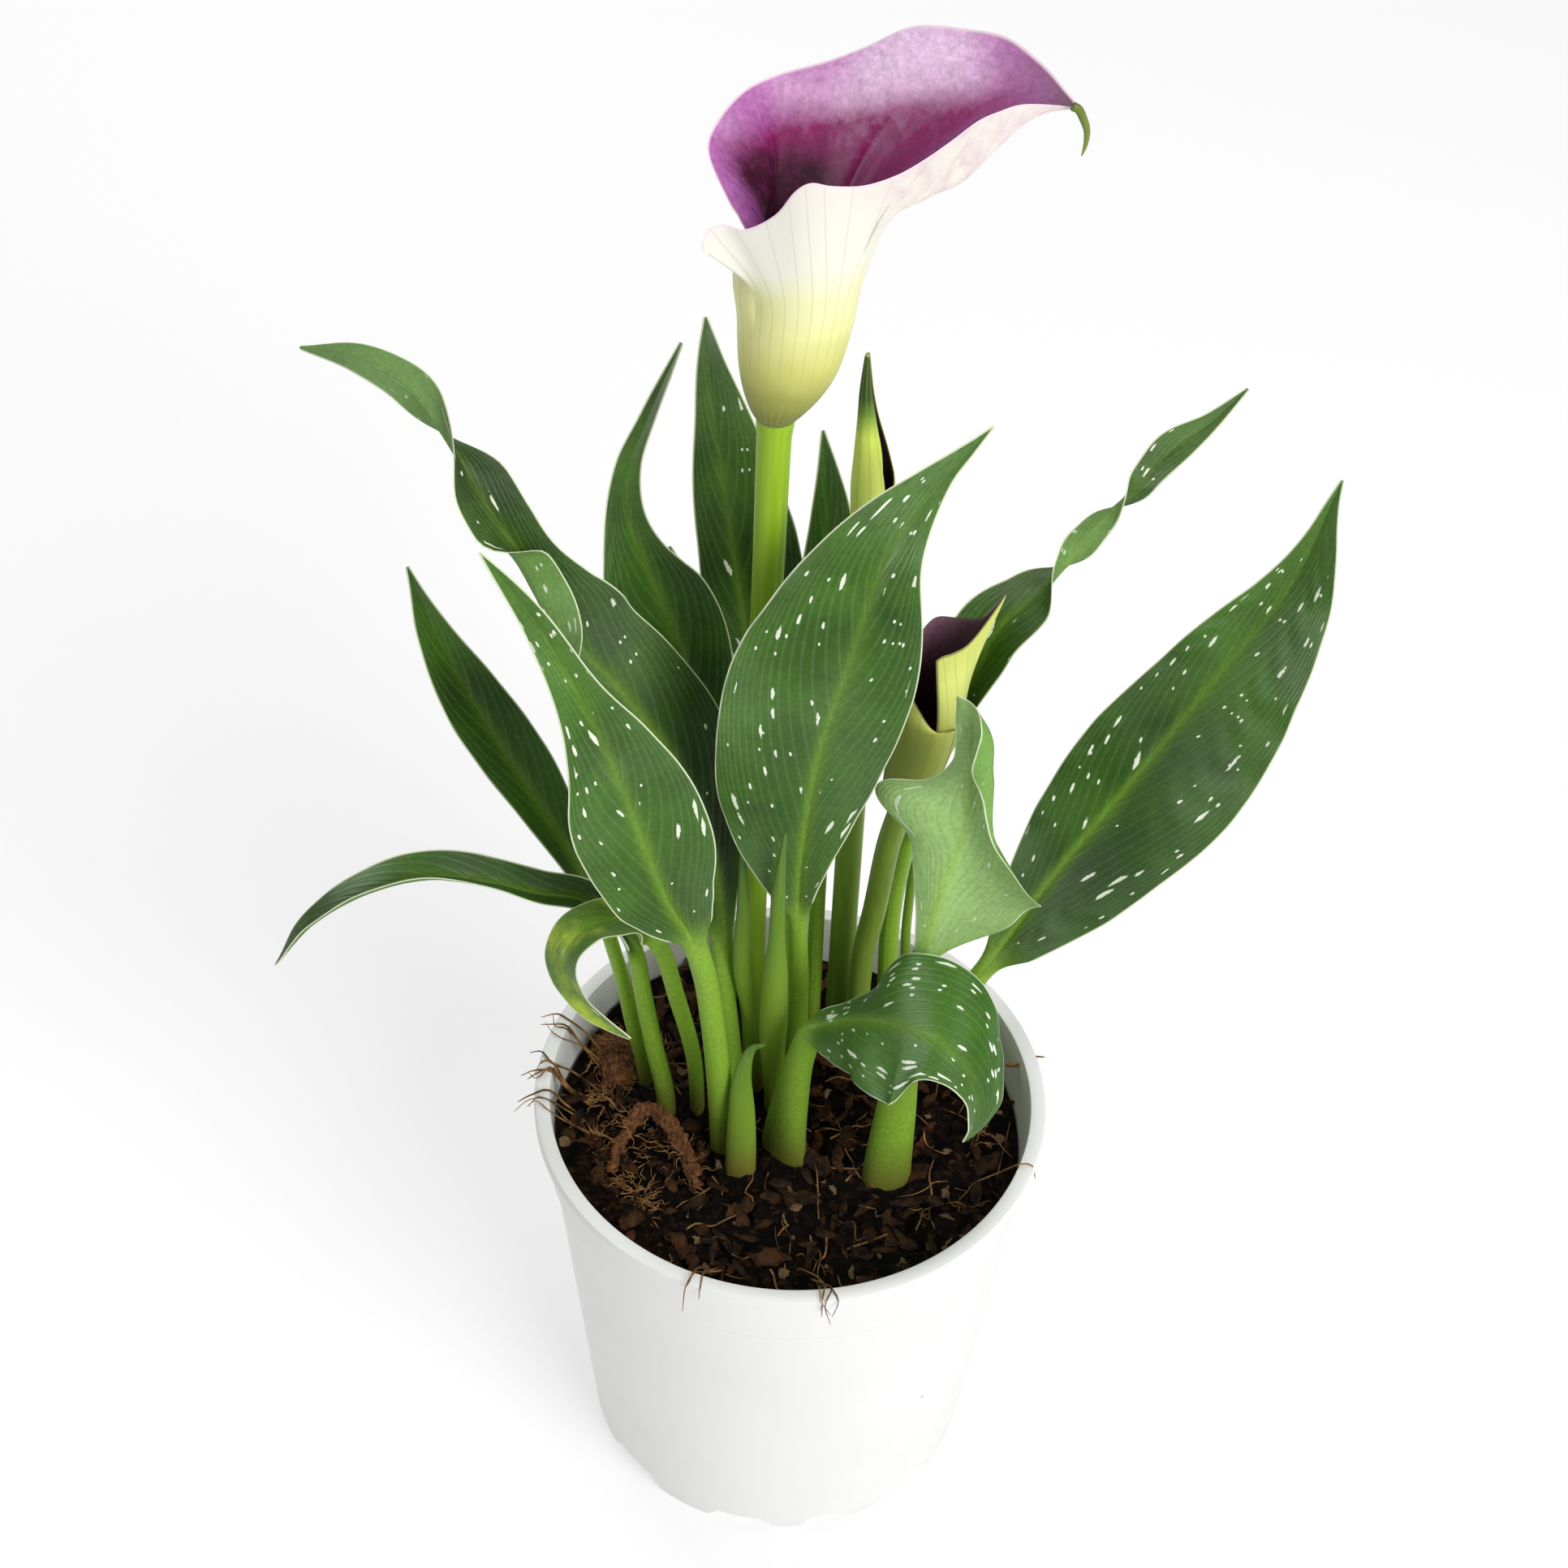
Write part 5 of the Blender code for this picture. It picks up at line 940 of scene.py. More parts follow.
def spathe_middle(bloom, closed):
    """The middle surface of a spathe: rows from base to rim and columns round it, with its measures."""
    stem_top = np.array(bloom["stem"][-1], float)
    stem_radius = bloom["stem_radius"][1]
    wall = len(bloom["tube"])
    # Rows lie closer together towards the rim
    parts = 1 - (1 - np.linspace(0, 1, bloom["limb_rows"] + 1)[1:]) ** 1.15
    directions = [row[0] for row in bloom["rim"]]
    layers = np.linspace(*bloom.get("layers", (0, 0)), len(directions))
    rows, measures = [], []
    for (direction, *edge), layer in zip(bloom["rim"], layers):
        away = compass(direction)
        line = [stem_top + away * (stem_radius + 0.35 * layer - 0.3)]
        line += [np.array(t[:3]) + away * (t[3] + layer) for t in bloom["tube"]]
        line = Spine(line + bloom["limb"].get(direction, []) + [edge])
        throat = line.distance_of(wall)
        places = np.concatenate([line.distance_of(np.linspace(0, wall, wall * SPATHE_STEPS + 1)),
                                 throat + (line.length - throat) * parts])
        rows.append(line.at(places))
        measures.append(np.stack([places, line.length - places, 0 * places], -1))
    middle, measure = [refine(np.stack(part, axis=1), closed) for part in (rows, measures)]
    directions.append(directions[0] - 360)
    measure[..., 2] = np.interp(np.arange(middle.shape[1]) / SPATHE_STEPS, np.arange(len(directions)),
                                directions)
    height = np.concatenate([np.linspace(0, 0.5, wall * SPATHE_STEPS + 1), 0.5 + 0.5 * parts])
    return middle, measure, height


def steps_across(values, closed):
    """How much values change from column to column, over one column when open and two when closed."""
    if closed:
        return np.roll(values, -1, axis=1) - np.roll(values, 1, axis=1)
    return np.gradient(values, axis=1)


def facing_of(middle, closed):
    """Directions square to a surface given in rows and columns."""
    return unit(np.cross(np.gradient(middle, axis=0), steps_across(middle, closed)))


def across_per_degree(middle, directions, closed):
    """Millimetres across the surface for one degree of direction."""
    turn = np.abs(steps_across(directions[None], closed))
    turn = np.minimum(turn, np.abs(360 - turn))
    return np.linalg.norm(steps_across(middle, closed), axis=-1) / np.maximum(turn, 0.2)


def two_faced(outer, inner, taken, axis, measure, height, across):
    """A spathe's outside joined to the part taken of its inside, and what its material reads."""
    height = np.repeat(height[:, None], measure.shape[1], 1)
    place = np.stack([measure[..., 0], measure[..., 2], across], -1)
    faces = [(grid, np.stack([np.full(height.shape, within), height, measure[..., 1]], -1), place)
             for grid, within in ((outer, 0.0), (inner, 1.0))]
    grid, tone, place = [np.concatenate([out, back[taken]], axis) for out, back in zip(*faces)]
    return grid, {"tone": tone, "vein_place": place}


def closed_spathe(bloom):
    """Loop up the outside of a spathe, over its rim and down its inside."""
    middle, measure, height = spathe_middle(bloom, True)
    # The wall thins from 0.9 mm at its base to 0.25 mm at its rim
    thick = facing_of(middle, True)
    thick = thick * np.interp(height, [0, 0.5, 0.8, 1.0], [0.9, 0.8, 0.5, 0.25])[:, None, None]
    outer, inner = middle + thick / 2, middle - thick / 2
    outer[-1] = middle[-1]
    keep = inner[:, :, 2].min(axis=1) > bloom["cavity_floor"] - 6
    keep[-1] = False
    across = across_per_degree(middle, measure[0, :, 2], True)
    grid, marks = two_faced(outer, inner, np.nonzero(keep)[0][::-1], 0, measure, height, across)
    # Each point takes shares of darkening, magenta and a pale painted highlight from the blots near it
    blush_and_highlight = []
    for blots in (DARK_BLOTS, MAGENTA_BLOTS, PAINTED_HIGHLIGHT_BLOTS):
        total = np.zeros(grid.shape[:-1])
        for *place, radius, strength in blots:
            far = np.sum((grid - np.array(place)) ** 2, axis=-1)
            total = total + strength * np.exp(-far / (2 * (BLOT_SPREAD * radius) ** 2))
        blush_and_highlight.append(np.clip(total, 0, 1))
    marks["blush_and_highlight"] = np.stack(blush_and_highlight, -1)
    return grid, marks


def sheet_loop(middle, measure, height, flat_thick, edge_round, flip):
    """A curved sheet with both of its faces, thin at every margin where the faces meet."""
    along = np.cumsum(np.linalg.norm(np.diff(middle, axis=1), axis=-1), axis=1)
    along = np.pad(along, ((0, 0), (1, 0)))
    margin = np.minimum(np.minimum(along, along[:, -1:] - along), measure[..., 1])
    edge = np.minimum(margin, measure[..., 0])
    thick = flat_thick * np.sqrt(np.clip(edge / edge_round, 0, 1))[..., None] / 2
    thick = facing_of(middle, False) * flip * thick
    across = across_per_degree(middle, measure[0, :, 2], False)
    measure = measure.copy()
    measure[..., 1] = margin
    mirrored = (slice(None), slice(None, None, -1))
    return two_faced(middle + thick, middle - thick, mirrored, 1, measure, height, across)


def rolled_sheet():
    """The rolled spathe: a sheet wound up to one and a half times round its core, with a slit at the
    right."""
    rings = [ROLLED_BLOOM["stem"][-1] + (3.0,)] + ROLLED_BLOOM["bud"]
    core = Spine(rings)
    ways = np.linspace(0, 1, 90)
    middle = core.at(ways * core.length)
    radius = read_rows([(core.distance_of(k) / core.length, ring[3]) for k, ring in enumerate(rings)],
                       ways)
    height = middle[:, 2]
    # Where the outer margin ends: low down it crosses the front to the left, higher up it stays right
    outer_end = np.interp(height, [268, 280, 283, 284.5, 286, 287.3, 289, 292, 318],
                          [-440, -436, -398, -365, -330, -300, -278, -266, -262])[:, None]
    inner_end = np.interp(height, [268, 280, 286, 292, 298, 306, 318],
                          [90, 80, 62, 58, 86, 106, 120])[:, None]
    share = np.linspace(0, 1, 120)[None]
    direction = inner_end + (outer_end - inner_end) * share
    layer = -0.35 + 0.7 * share
    gape = np.interp(height, [268, 276, 284, 291, 299, 305, 309, 318],
                     [0.2, 0.5, 0.9, 1.1, 0.6, 0.2, 0.1, 0])[:, None]
    open_right = np.exp(-((direction + 275) / 50) ** 2)
    reach = radius * (1 + 0.03 * np.cos(np.radians(2 * direction)))
    reach = reach + layer * np.minimum(radius / 2.5, 1) + gape * open_right
    sheet = middle[:, None] + compass(direction) * reach[..., None]
    places = (ways * core.length)[:, None] + 0 * direction
    measure = np.stack([places, core.length - places, direction], -1)
    return sheet_loop(sheet, measure, ways, 0.45, 0.8, 1)


# Pot and mix


def pot_rings():
    """The pot's outline from the middle of its floor up the inside and down the outside, radius and
    height. Each row gives a line to count from and then the steps from it."""
    inner_low = BASE_RADIUS + WALL_LEAN * FLOOR_TOP - WALL
    inner_top = RIM_RADIUS - 4.2
    rows = [
        (inner_low, FLOOR_TOP, [(-2.2, 0), (-0.6, 0.5), (0, 2.0)]),
        (inner_top, COLLAR_BOTTOM, [(-1.4, 0), (-1.2, 1.5)]),
        (inner_top, POT_HEIGHT, [(0, -8), (0.1, -0.9), (0.35, -0.25), (0.9, 0)]),
        (RIM_RADIUS, POT_HEIGHT, [(-1.0, 0), (-0.35, -0.25), (0, -0.9), (0, -3.2), (-0.3, -4.1),
                                  (-1.2, -4.6), (-2.2, -5.0), (-2.45, -6.2)]),
        (RIM_RADIUS, COLLAR_BOTTOM, [(-3.0, 1.4), (-3.2, 0.6), (-3.8, -0.2), (-4.06, -1.2)]),
        (BASE_RADIUS, 0, [(0.75, 9.0), (0.5, 6.0), (0.06, 0.7), (-0.25, 0.12), (-0.7, 0)]),
        (BASE_RADIUS - WALL, 0, [(0.4, 0), (0, 0.4), (0.3, FLOOR_BOTTOM)])]
    return [(radius + out, height + up) for radius, height, steps in rows for out, up in steps]


def soil_height(x, y):
    """Level of the potting mix: a gentle relief, a bank on the left and listed lumps."""
    radius = np.hypot(x, y)
    level = SOIL_LEVEL + 0.7 * np.sin(0.23 * x + 1.1) * np.cos(0.27 * y - 0.4)
    level = level + 0.5 * np.sin(0.41 * x - 0.33 * y) * ease(radius / 30)
    level = level + 6.5 * ease((radius - 40) / 16) * ease((-x - 20) / 22)
    level = level - 2.5 * ease((radius - 46) / 12) * ease((30 - y) / 30) * ease((x + 20) / 30)
    for lump_x, lump_y, size, high in LUMPS:
        level = level + high * (1 - ease(np.hypot(x - lump_x, y - lump_y) / size))
    for seat_x, seat_y, size, seat_level in SEATS:
        share = 1 - ease((np.hypot(x - seat_x, y - seat_y) - size) / 5)
        level = level * (1 - share) + seat_level * share
    return level


def clods(x, y):
    """Crumbs and clods of the mix, in millimetres above its level."""
    out = np.zeros(x.shape)
    for i, (a, b) in enumerate(zip(x.ravel(), y.ravel())):
        big, middle, small = [noise.noise(Vector((a / size, b / size, layer)))
                              for size, layer in ((9, 1.7), (3.6, 9.1), (1.5, 4.4))]
        out.flat[i] = 1.5 * big + 1.5 * (0.8 - 1.6 * abs(middle)) + 1.3 * (0.5 - abs(small))
    return out


def mix_level(x, y):
    """Height of the dressed mix at one place, with its crumbs."""
    return float(soil_height(x, y) + clods(np.array([x]), np.array([y]))[0])


def soil_form():
    """Rows of points from the middle of the mix out to its edge, then down its side to its floor."""
    sides = 240
    reaches = np.concatenate([[0.3], np.linspace(1, SOIL_RADIUS, 88)])
    flat = compass(np.linspace(0, 360, sides, endpoint=False))
    x, y = reaches[:, None] * flat[None, :, 0], reaches[:, None] * flat[None, :, 1]
    fade = ease((SOIL_RADIUS + 1 - reaches) / 4)[:, None]
    level = soil_height(x, y) + clods(x, y) * fade
    for seat_x, seat_y, size, seat_level in SEATS:
        inside = 1 - ease((np.hypot(x - seat_x, y - seat_y) - size + 3) / 4)
        level = np.minimum(level, seat_level + 0.2 + 4 * (1 - inside))
    floor = FLOOR_TOP + TOUCH_GAP
    low_radius = BASE_RADIUS + WALL_LEAN * floor - WALL - TOUCH_GAP - 0.5
    side = [np.stack([flat[:, 0] * r, flat[:, 1] * r, np.full(sides, z)], -1)[None]
            for r, z in ((SOIL_RADIUS - 0.3, 101.0), (low_radius, floor + 1), (low_radius - 1, floor))]
    return np.concatenate([np.stack([x, y, level], -1)] + side)


def bundled(name, grids, material):
    """Many small flakes or fibres as one mesh, each a tube with its ends closed. A mesh operator for
    every one of several hundred would take minutes."""
    points, faces = [], []
    for grid in grids:
        rows, sides = grid.shape[:2]
        first = len(points)
        points.extend((grid.reshape(-1, 3) * MM).tolist())
        for row in range(first, first + (rows - 1) * sides, sides):
            for k in range(sides):
                after = (k + 1) % sides
                faces.append((row + k, row + after, row + sides + after, row + sides + k))
        faces.append(tuple(range(first + sides - 1, first - 1, -1)))
        faces.append(tuple(range(first + (rows - 1) * sides, first + rows * sides)))
    mesh = bpy.data.meshes.new(name)
    mesh.from_pydata(points, [], faces)
    mesh.materials.append(material)
    piece = bpy.data.objects.new(name, mesh)
    bpy.context.scene.collection.objects.link(piece)
    deselect()
    piece.select_set(True)
    bpy.context.view_layer.objects.active = piece
    close_shell(has_holes=False)
    bpy.ops.object.shade_smooth_by_angle(angle=math.radians(50))
    finish_piece(piece, "coir")


def free_places(draw, count, clear):
    """Places on the mix that keep clear of every stalk."""
    feet = [shape["spine"][0] for shape in list(LEAVES.values()) + list(SHOOTS.values())]
    feet += [bloom["stem"][0] for bloom in list(BLOOMS.values()) + [ROLLED_BLOOM]]
    places = []
    while len(places) < count:
        x, y = draw.uniform(-SOIL_RADIUS, SOIL_RADIUS, 2)
        far = min(math.hypot(x - foot[0], y - foot[1]) for foot in feet)
        if math.hypot(x, y) < SOIL_RADIUS - 2 and far > clear:
            places.append((x, y))
    return places


def wisp(draw, start, reach, bend, thick):
    """A fibre from its start along its reach, bent a little at random and tapered at its ends."""
    start, reach = np.array(start, float), np.array(reach, float)
    line = [start + reach * share + draw.uniform(-1, 1, 3) * bend * math.sin(math.pi * share)
            for share in (0.0, 0.25, 0.5, 0.75)]
    line.append(start + reach + draw.uniform(-1, 1, 3) * bend * 0.6)
    return tube_form(line, [(0, thick), (0.6, thick * 0.8), (1, thick * 0.3)], 1.0, 5, 12)[0]


# Settings, operators and panel


class CALLA_PG_sizes(bpy.types.PropertyGroup):
    """Sizes of the fine parts that the CAD leaves to the looks."""
    grain_count: bpy.props.IntProperty(
        name="Bark flakes", description="Loose flakes of bark that lie on the mix", default=330, min=0)
    fibre_count: bpy.props.IntProperty(
        name="Fibres", description="Loose fibres that lie on the mix", default=120, min=0)
    flake_size: bpy.props.FloatProperty(
        name="Flake size", description="Middle length of a bark flake",
        default=0.0034, unit="LENGTH", subtype="DISTANCE")


class CALLA_PG_colours(bpy.types.PropertyGroup):
    """Colours a user may want to change, as sRGB hex."""
    pot: bpy.props.StringProperty(name="Pot", description="Colour of the pot's plastic", default="EFEFEE")
    leaf_deep: bpy.props.StringProperty(
        name="Leaf, deep", description="Darker green of the leaves", default="1B330A")
    leaf_fresh: bpy.props.StringProperty(
        name="Leaf, fresh", description="Lighter green of the leaves", default="3A6214")
    spathe: bpy.props.StringProperty(
        name="Spathe", description="Lilac inside the open bloom", default="B66CB2")
    floor: bpy.props.StringProperty(name="Floor", description="Colour of the plain floor", default="FAFAFA")


class CALLA_OT_pot(bpy.types.Operator):
    """Turn the white nursery pot and cut its foot notches and drain holes"""
    bl_idname = "calla.pot"
    bl_label = "Pot"

    def execute(self, context):
        rings = pot_rings()
        deselect()
        first, low = rings[0]
        bpy.ops.mesh.primitive_circle_add(vertices=192, radius=first * MM, location=(0, 0, low * MM))
        pot = context.object
        bpy.ops.object.transform_apply(location=True, rotation=True, scale=True)
        bpy.ops.object.mode_set(mode="EDIT")
        bpy.ops.mesh.select_all(action="SELECT")
        for (radius, height), (next_radius, next_height) in zip(rings, rings[1:]):
            rise = (0, 0, (next_height - height) * MM)
            bpy.ops.mesh.extrude_edges_move(TRANSFORM_OT_translate={"value": rise})
            grow = next_radius / radius
            bpy.ops.transform.resize(value=(grow, grow, 1), center_override=(0, 0, 0))
        close_shell()
        # A notch is narrower at its top, by 0.8 of its depth on each side
        deep = FOOT_NOTCH_HEIGHT + 2
        cutters = []
        for direction, width in FOOT_NOTCHES:
            wide = 2 * BASE_RADIUS * math.sin(math.radians(width / 2)) + 5.0
            narrow = wide - 1.6 * deep
            bpy.ops.mesh.primitive_cone_add(
                vertices=4, radius1=wide * MM / math.sqrt(2), radius2=narrow * MM / math.sqrt(2),
                depth=deep * MM, rotation=(0, 0, math.pi / 4))
            bpy.ops.object.transform_apply(location=True, rotation=True, scale=True)
            cutter = context.object
            cutter.scale = (1, 9 / wide, 1)
            cutter.rotation_euler = (0, 0, math.radians(direction))
            middle = compass(float(direction)) * (BASE_RADIUS - 1)
            cutter.location = (middle[0] * MM, middle[1] * MM, (FOOT_NOTCH_HEIGHT / 2 - 1) * MM)
            cutters.append(cutter)
        for i in range(DRAIN_HOLES):
            middle = compass(360.0 * i / DRAIN_HOLES) * DRAIN_RING_RADIUS
            bpy.ops.mesh.primitive_cylinder_add(
                vertices=40, radius=DRAIN_HOLE_RADIUS * MM, depth=8 * MM,
                location=(middle[0] * MM, middle[1] * MM, (FLOOR_TOP - 1) * MM))
            cutters.append(context.object)
        bpy.ops.object.select_all(action="DESELECT")
        for cutter in cutters:
            cutter.select_set(True)
        context.view_layer.objects.active = cutters[0]
        bpy.ops.object.join()
        cutter = context.object
        deselect()
        context.view_layer.objects.active = pot
        cut = pot.modifiers.new("notches and drains", "BOOLEAN")
        cut.operation = "DIFFERENCE"
        cut.solver = "EXACT"
        cut.object = cutter
        bpy.ops.object.modifier_apply(modifier=cut.name)
        bpy.data.objects.remove(cutter)
        pot.name = pot.data.name = "pot_dressed"
        pot.select_set(True)
        bpy.ops.object.shade_smooth_by_angle(angle=math.radians(35))
        pot.data.materials.clear()
        pot.data.materials.append(plastic_material("white pot plastic", context.scene.calla_colours.pot))
        finish_piece(pot, "pot", "pot")
        return {"FINISHED"}


class CALLA_OT_mix(bpy.types.Operator):
    """Lay the potting mix with its relief and crumbs"""
    bl_idname = "calla.mix"
    bl_label = "Potting mix"

    def execute(self, context):
        lofted("potting_mix", (soil_form(), {}), mix_material("moist potting mix"), 80, "soil", "soil")
        return {"FINISHED"}


class CALLA_OT_coir(bpy.types.Operator):
    """Make the fuzzy piece of husk and the bent strip of husk on the mix"""
    bl_idname = "calla.coir"
    bl_label = "Coir pieces"

    def execute(self, context):
        husk = husk_material("brown coir husk")
        x, y, _, level = SEATS[0]
        turn = np.linspace(0, 2 * math.pi, 120, endpoint=False)
        lean = math.radians(CHUNK_LEAN)
        half_wide, half_long = CHUNK_HALVES
        rows = []
        for share, high in CHUNK_ROWS:
            rough, fine = [
                np.array([noise.noise(Vector((size * math.cos(t), size * math.sin(t), high * rise)))
                          for t in turn])
                for size, rise in ((3, 1.3), (9, 2.7))]
            bulge = 1 + 0.10 * np.sin(3 * turn + 0.6) + 0.06 * np.sin(5 * turn)
            bulge = bulge + 0.3 * rough + 0.16 * fine
            across = half_wide * share * bulge * np.cos(turn)
            along = half_long * share * bulge * np.sin(turn)
            rows.append(np.stack([x + across * math.cos(lean) - along * math.sin(lean),
                                  y + across * math.sin(lean) + along * math.cos(lean),
                                  level + TOUCH_GAP + high + 0.5 * rough * min(high, 1)], -1))
        lofted("husk_chunk", (np.array(rows), {}), husk, 80, "coir", "coir_chunk")
        level = SEATS[1][3] + TOUCH_GAP
        spine = [(-45, -18, level + 1.3), (-42, -10, level + 5), (-37, -4, level + 9),
                 (-31, -7, level + 8.5), (-26, -14, level + 5), (-22.5, -22, level + 1.4)]
        halves = [(0, 1.5), (0.3, 1.8), (0.5, 2.0), (0.75, 2.2), (1, 1.6)]
        grid = tube_form(spine, halves, 0.6, 40, 120)[0]
        grid[..., 2] = np.maximum(grid[..., 2], level)
        for ring in grid:
            middle = ring.mean(axis=0)
            for point in ring:
                rough = 0.5 * noise.noise(Vector(point / 2.6)) + 0.4 * noise.noise(Vector(point))
                point += (point - middle) * rough
        lofted("husk_arch", (grid, {}), husk, 80, "coir", "coir_arch")
        return {"FINISHED"}


class CALLA_OT_debris(bpy.types.Operator):
    """Scatter bark flakes and fibres over the mix, the husk and the pot's rim"""
    bl_idname = "calla.debris"
    bl_label = "Loose bark and fibres"

    def execute(self, context):
        sizes = context.scene.calla_sizes
        draw = np.random.default_rng(DEBRIS_SEED)
        length = sizes.flake_size / MM
        flakes = []
        for x, y in free_places(draw, sizes.grain_count, FLAKE_CLEAR):
            long = length * draw.uniform(0.4, 2.4)
            turn, rise = draw.uniform(0, 2 * math.pi), draw.uniform(-0.35, 0.5)
            ahead = np.array([math.cos(turn), math.sin(turn), rise]) * long / 2
            middle = np.array([x, y, mix_level(x, y) + 0.25 * long])
            wide = long * draw.uniform(0.12, 0.34)
            flake = tube_form([middle - ahead, middle, middle + ahead],
                              [(0, 0.35 * wide), (0.3, wide), (0.7, 0.8 * wide), (1, 0.3 * wide)],
                              draw.uniform(0.3, 0.6), 7, 6, tuple(draw.uniform(-0.5, 0.5, 2)) + (1.0,))[0]
            flakes.append(flake + draw.uniform(-0.3, 0.3, flake.shape) * wide)
        bundled("bark_flakes", flakes, debris_material("bark flakes", "080402", "472C16"))
        fibres = []
        for x, y in free_places(draw, sizes.fibre_count, FIBRE_CLEAR):
            turn, long = draw.uniform(0, 2 * math.pi), draw.uniform(5, 17)
            reach = (long * math.cos(turn), long * math.sin(turn), draw.uniform(-0.5, 3.5))
            if math.hypot(x + reach[0], y + reach[1]) < SOIL_RADIUS - 1:
                fibres.append(wisp(draw, (x, y, mix_level(x, y) + 0.4), reach, 1.6, draw.uniform(0.14, 0.34)))
        for x, y, rises, count in HAIR_HEAPS:
            for turn in draw.uniform(0, 2 * math.pi, count):
                out = draw.uniform(0.1, 1.0)
                start = (x + 5.0 * out * math.cos(turn), y + 7.5 * out * math.sin(turn),
                         HAIR_LEVEL + rises * (1 - out * out) + draw.uniform(-0.6, 0.6))
                away = draw.uniform(2, 7)
                reach = (away * math.cos(turn + 0.8), away * math.sin(turn + 0.8), draw.uniform(-1.5, 2.5))
                fibres.append(wisp(draw, start, reach, 1.0, draw.uniform(0.08, 0.2)))
        for direction, count in RIM_WISPS:
            for turn in np.radians(direction + draw.uniform(-3, 3, count)):
                out, sag = draw.uniform(0.2, 1.3), draw.uniform(-1.5, 3.5)
                line = []
                for reach, high in ((50, 109.5), (57, 116.5), (61.5, 122), (63.5 + 2 * out, 121.8),
                                    (64.5 + 4.5 * out, 120.5 - sag)):
                    swing = turn + draw.uniform(-0.035, 0.035)
                    line.append((reach * math.cos(swing), reach * math.sin(swing), high + draw.uniform(0, 1)))
                thick = draw.uniform(0.15, 0.3)
                fibres.append(tube_form(line, [(0, thick), (0.7, thick), (1, 0.4 * thick)], 1.0, 5, 20)[0])
        # One thicker root leans on the wall at the right
        fibres.append(wisp(draw, (53, 17, 113), (12, -3, 9.5), 0.8, 0.6))
        bundled("root_fibres", fibres, debris_material("coir and root fibres", "33200F", "A67B4C"))
        return {"FINISHED"}


class CALLA_OT_leaves(bpy.types.Operator):
    """Loft the fourteen leaves with their veins and spots"""
    bl_idname = "calla.leaves"
    bl_label = "Leaves"

    def execute(self, context):
        colours = context.scene.calla_colours
        skins = {
            "plain": leaf_material("deep green calla leaf", colours.leaf_deep, colours.leaf_fresh, "648A42",
                                   0.42, 0.07),
            "spotted": leaf_material("spotted calla leaf", "274B0C", "44731A", "7FA562", 0.38, 0.13),
            "glossy": leaf_material("glossy dark calla leaf", "2F6206", "4E8810", "7FA562", 0.45, 0.32,
                                    painted_sheen=0.04),
            "cupped": leaf_material("cupped calla leaf", "5C8A34", "7CAC4C", "A2CB7A", 0.42, 0.1),
            "yellowed": leaf_material("yellowing calla leaf", "4E7C22", "74A02C", "88AC44", 0.42, 0.05,
                                      yellow=0.1),
            "bare": leaf_material("calla leaf without dashes", "1D3A07", "3B680F", "648A42", 0.4, 0.0,
                                  painted_sheen=0.08)}
        for name, leaf in LEAVES.items():
            lofted(name + "_blade", leaf_form(leaf), skins[leaf.get("skin", "plain")], 50, "leaf", name)
        return {"FINISHED"}


class CALLA_OT_shoots(bpy.types.Operator):
    """Loft the young shoots, the lone stalk and the short sheath"""
    bl_idname = "calla.shoots"
    bl_label = "Shoots"

    def execute(self, context):
        fresh = stalk_material("fresh shoot", [(0.0, "94AC34"), (0.4, "8FB03C"), (0.8, "648A28"),
                                               (1.0, "4E6E2A")], "7C9A3A")
        for name, shoot in SHOOTS.items():
            form = tube_form(shoot["spine"], shoot["half"], shoot["depth"])
            lofted(name + "_stalk", form, fresh, 60, "shoot", name)
        return {"FINISHED"}


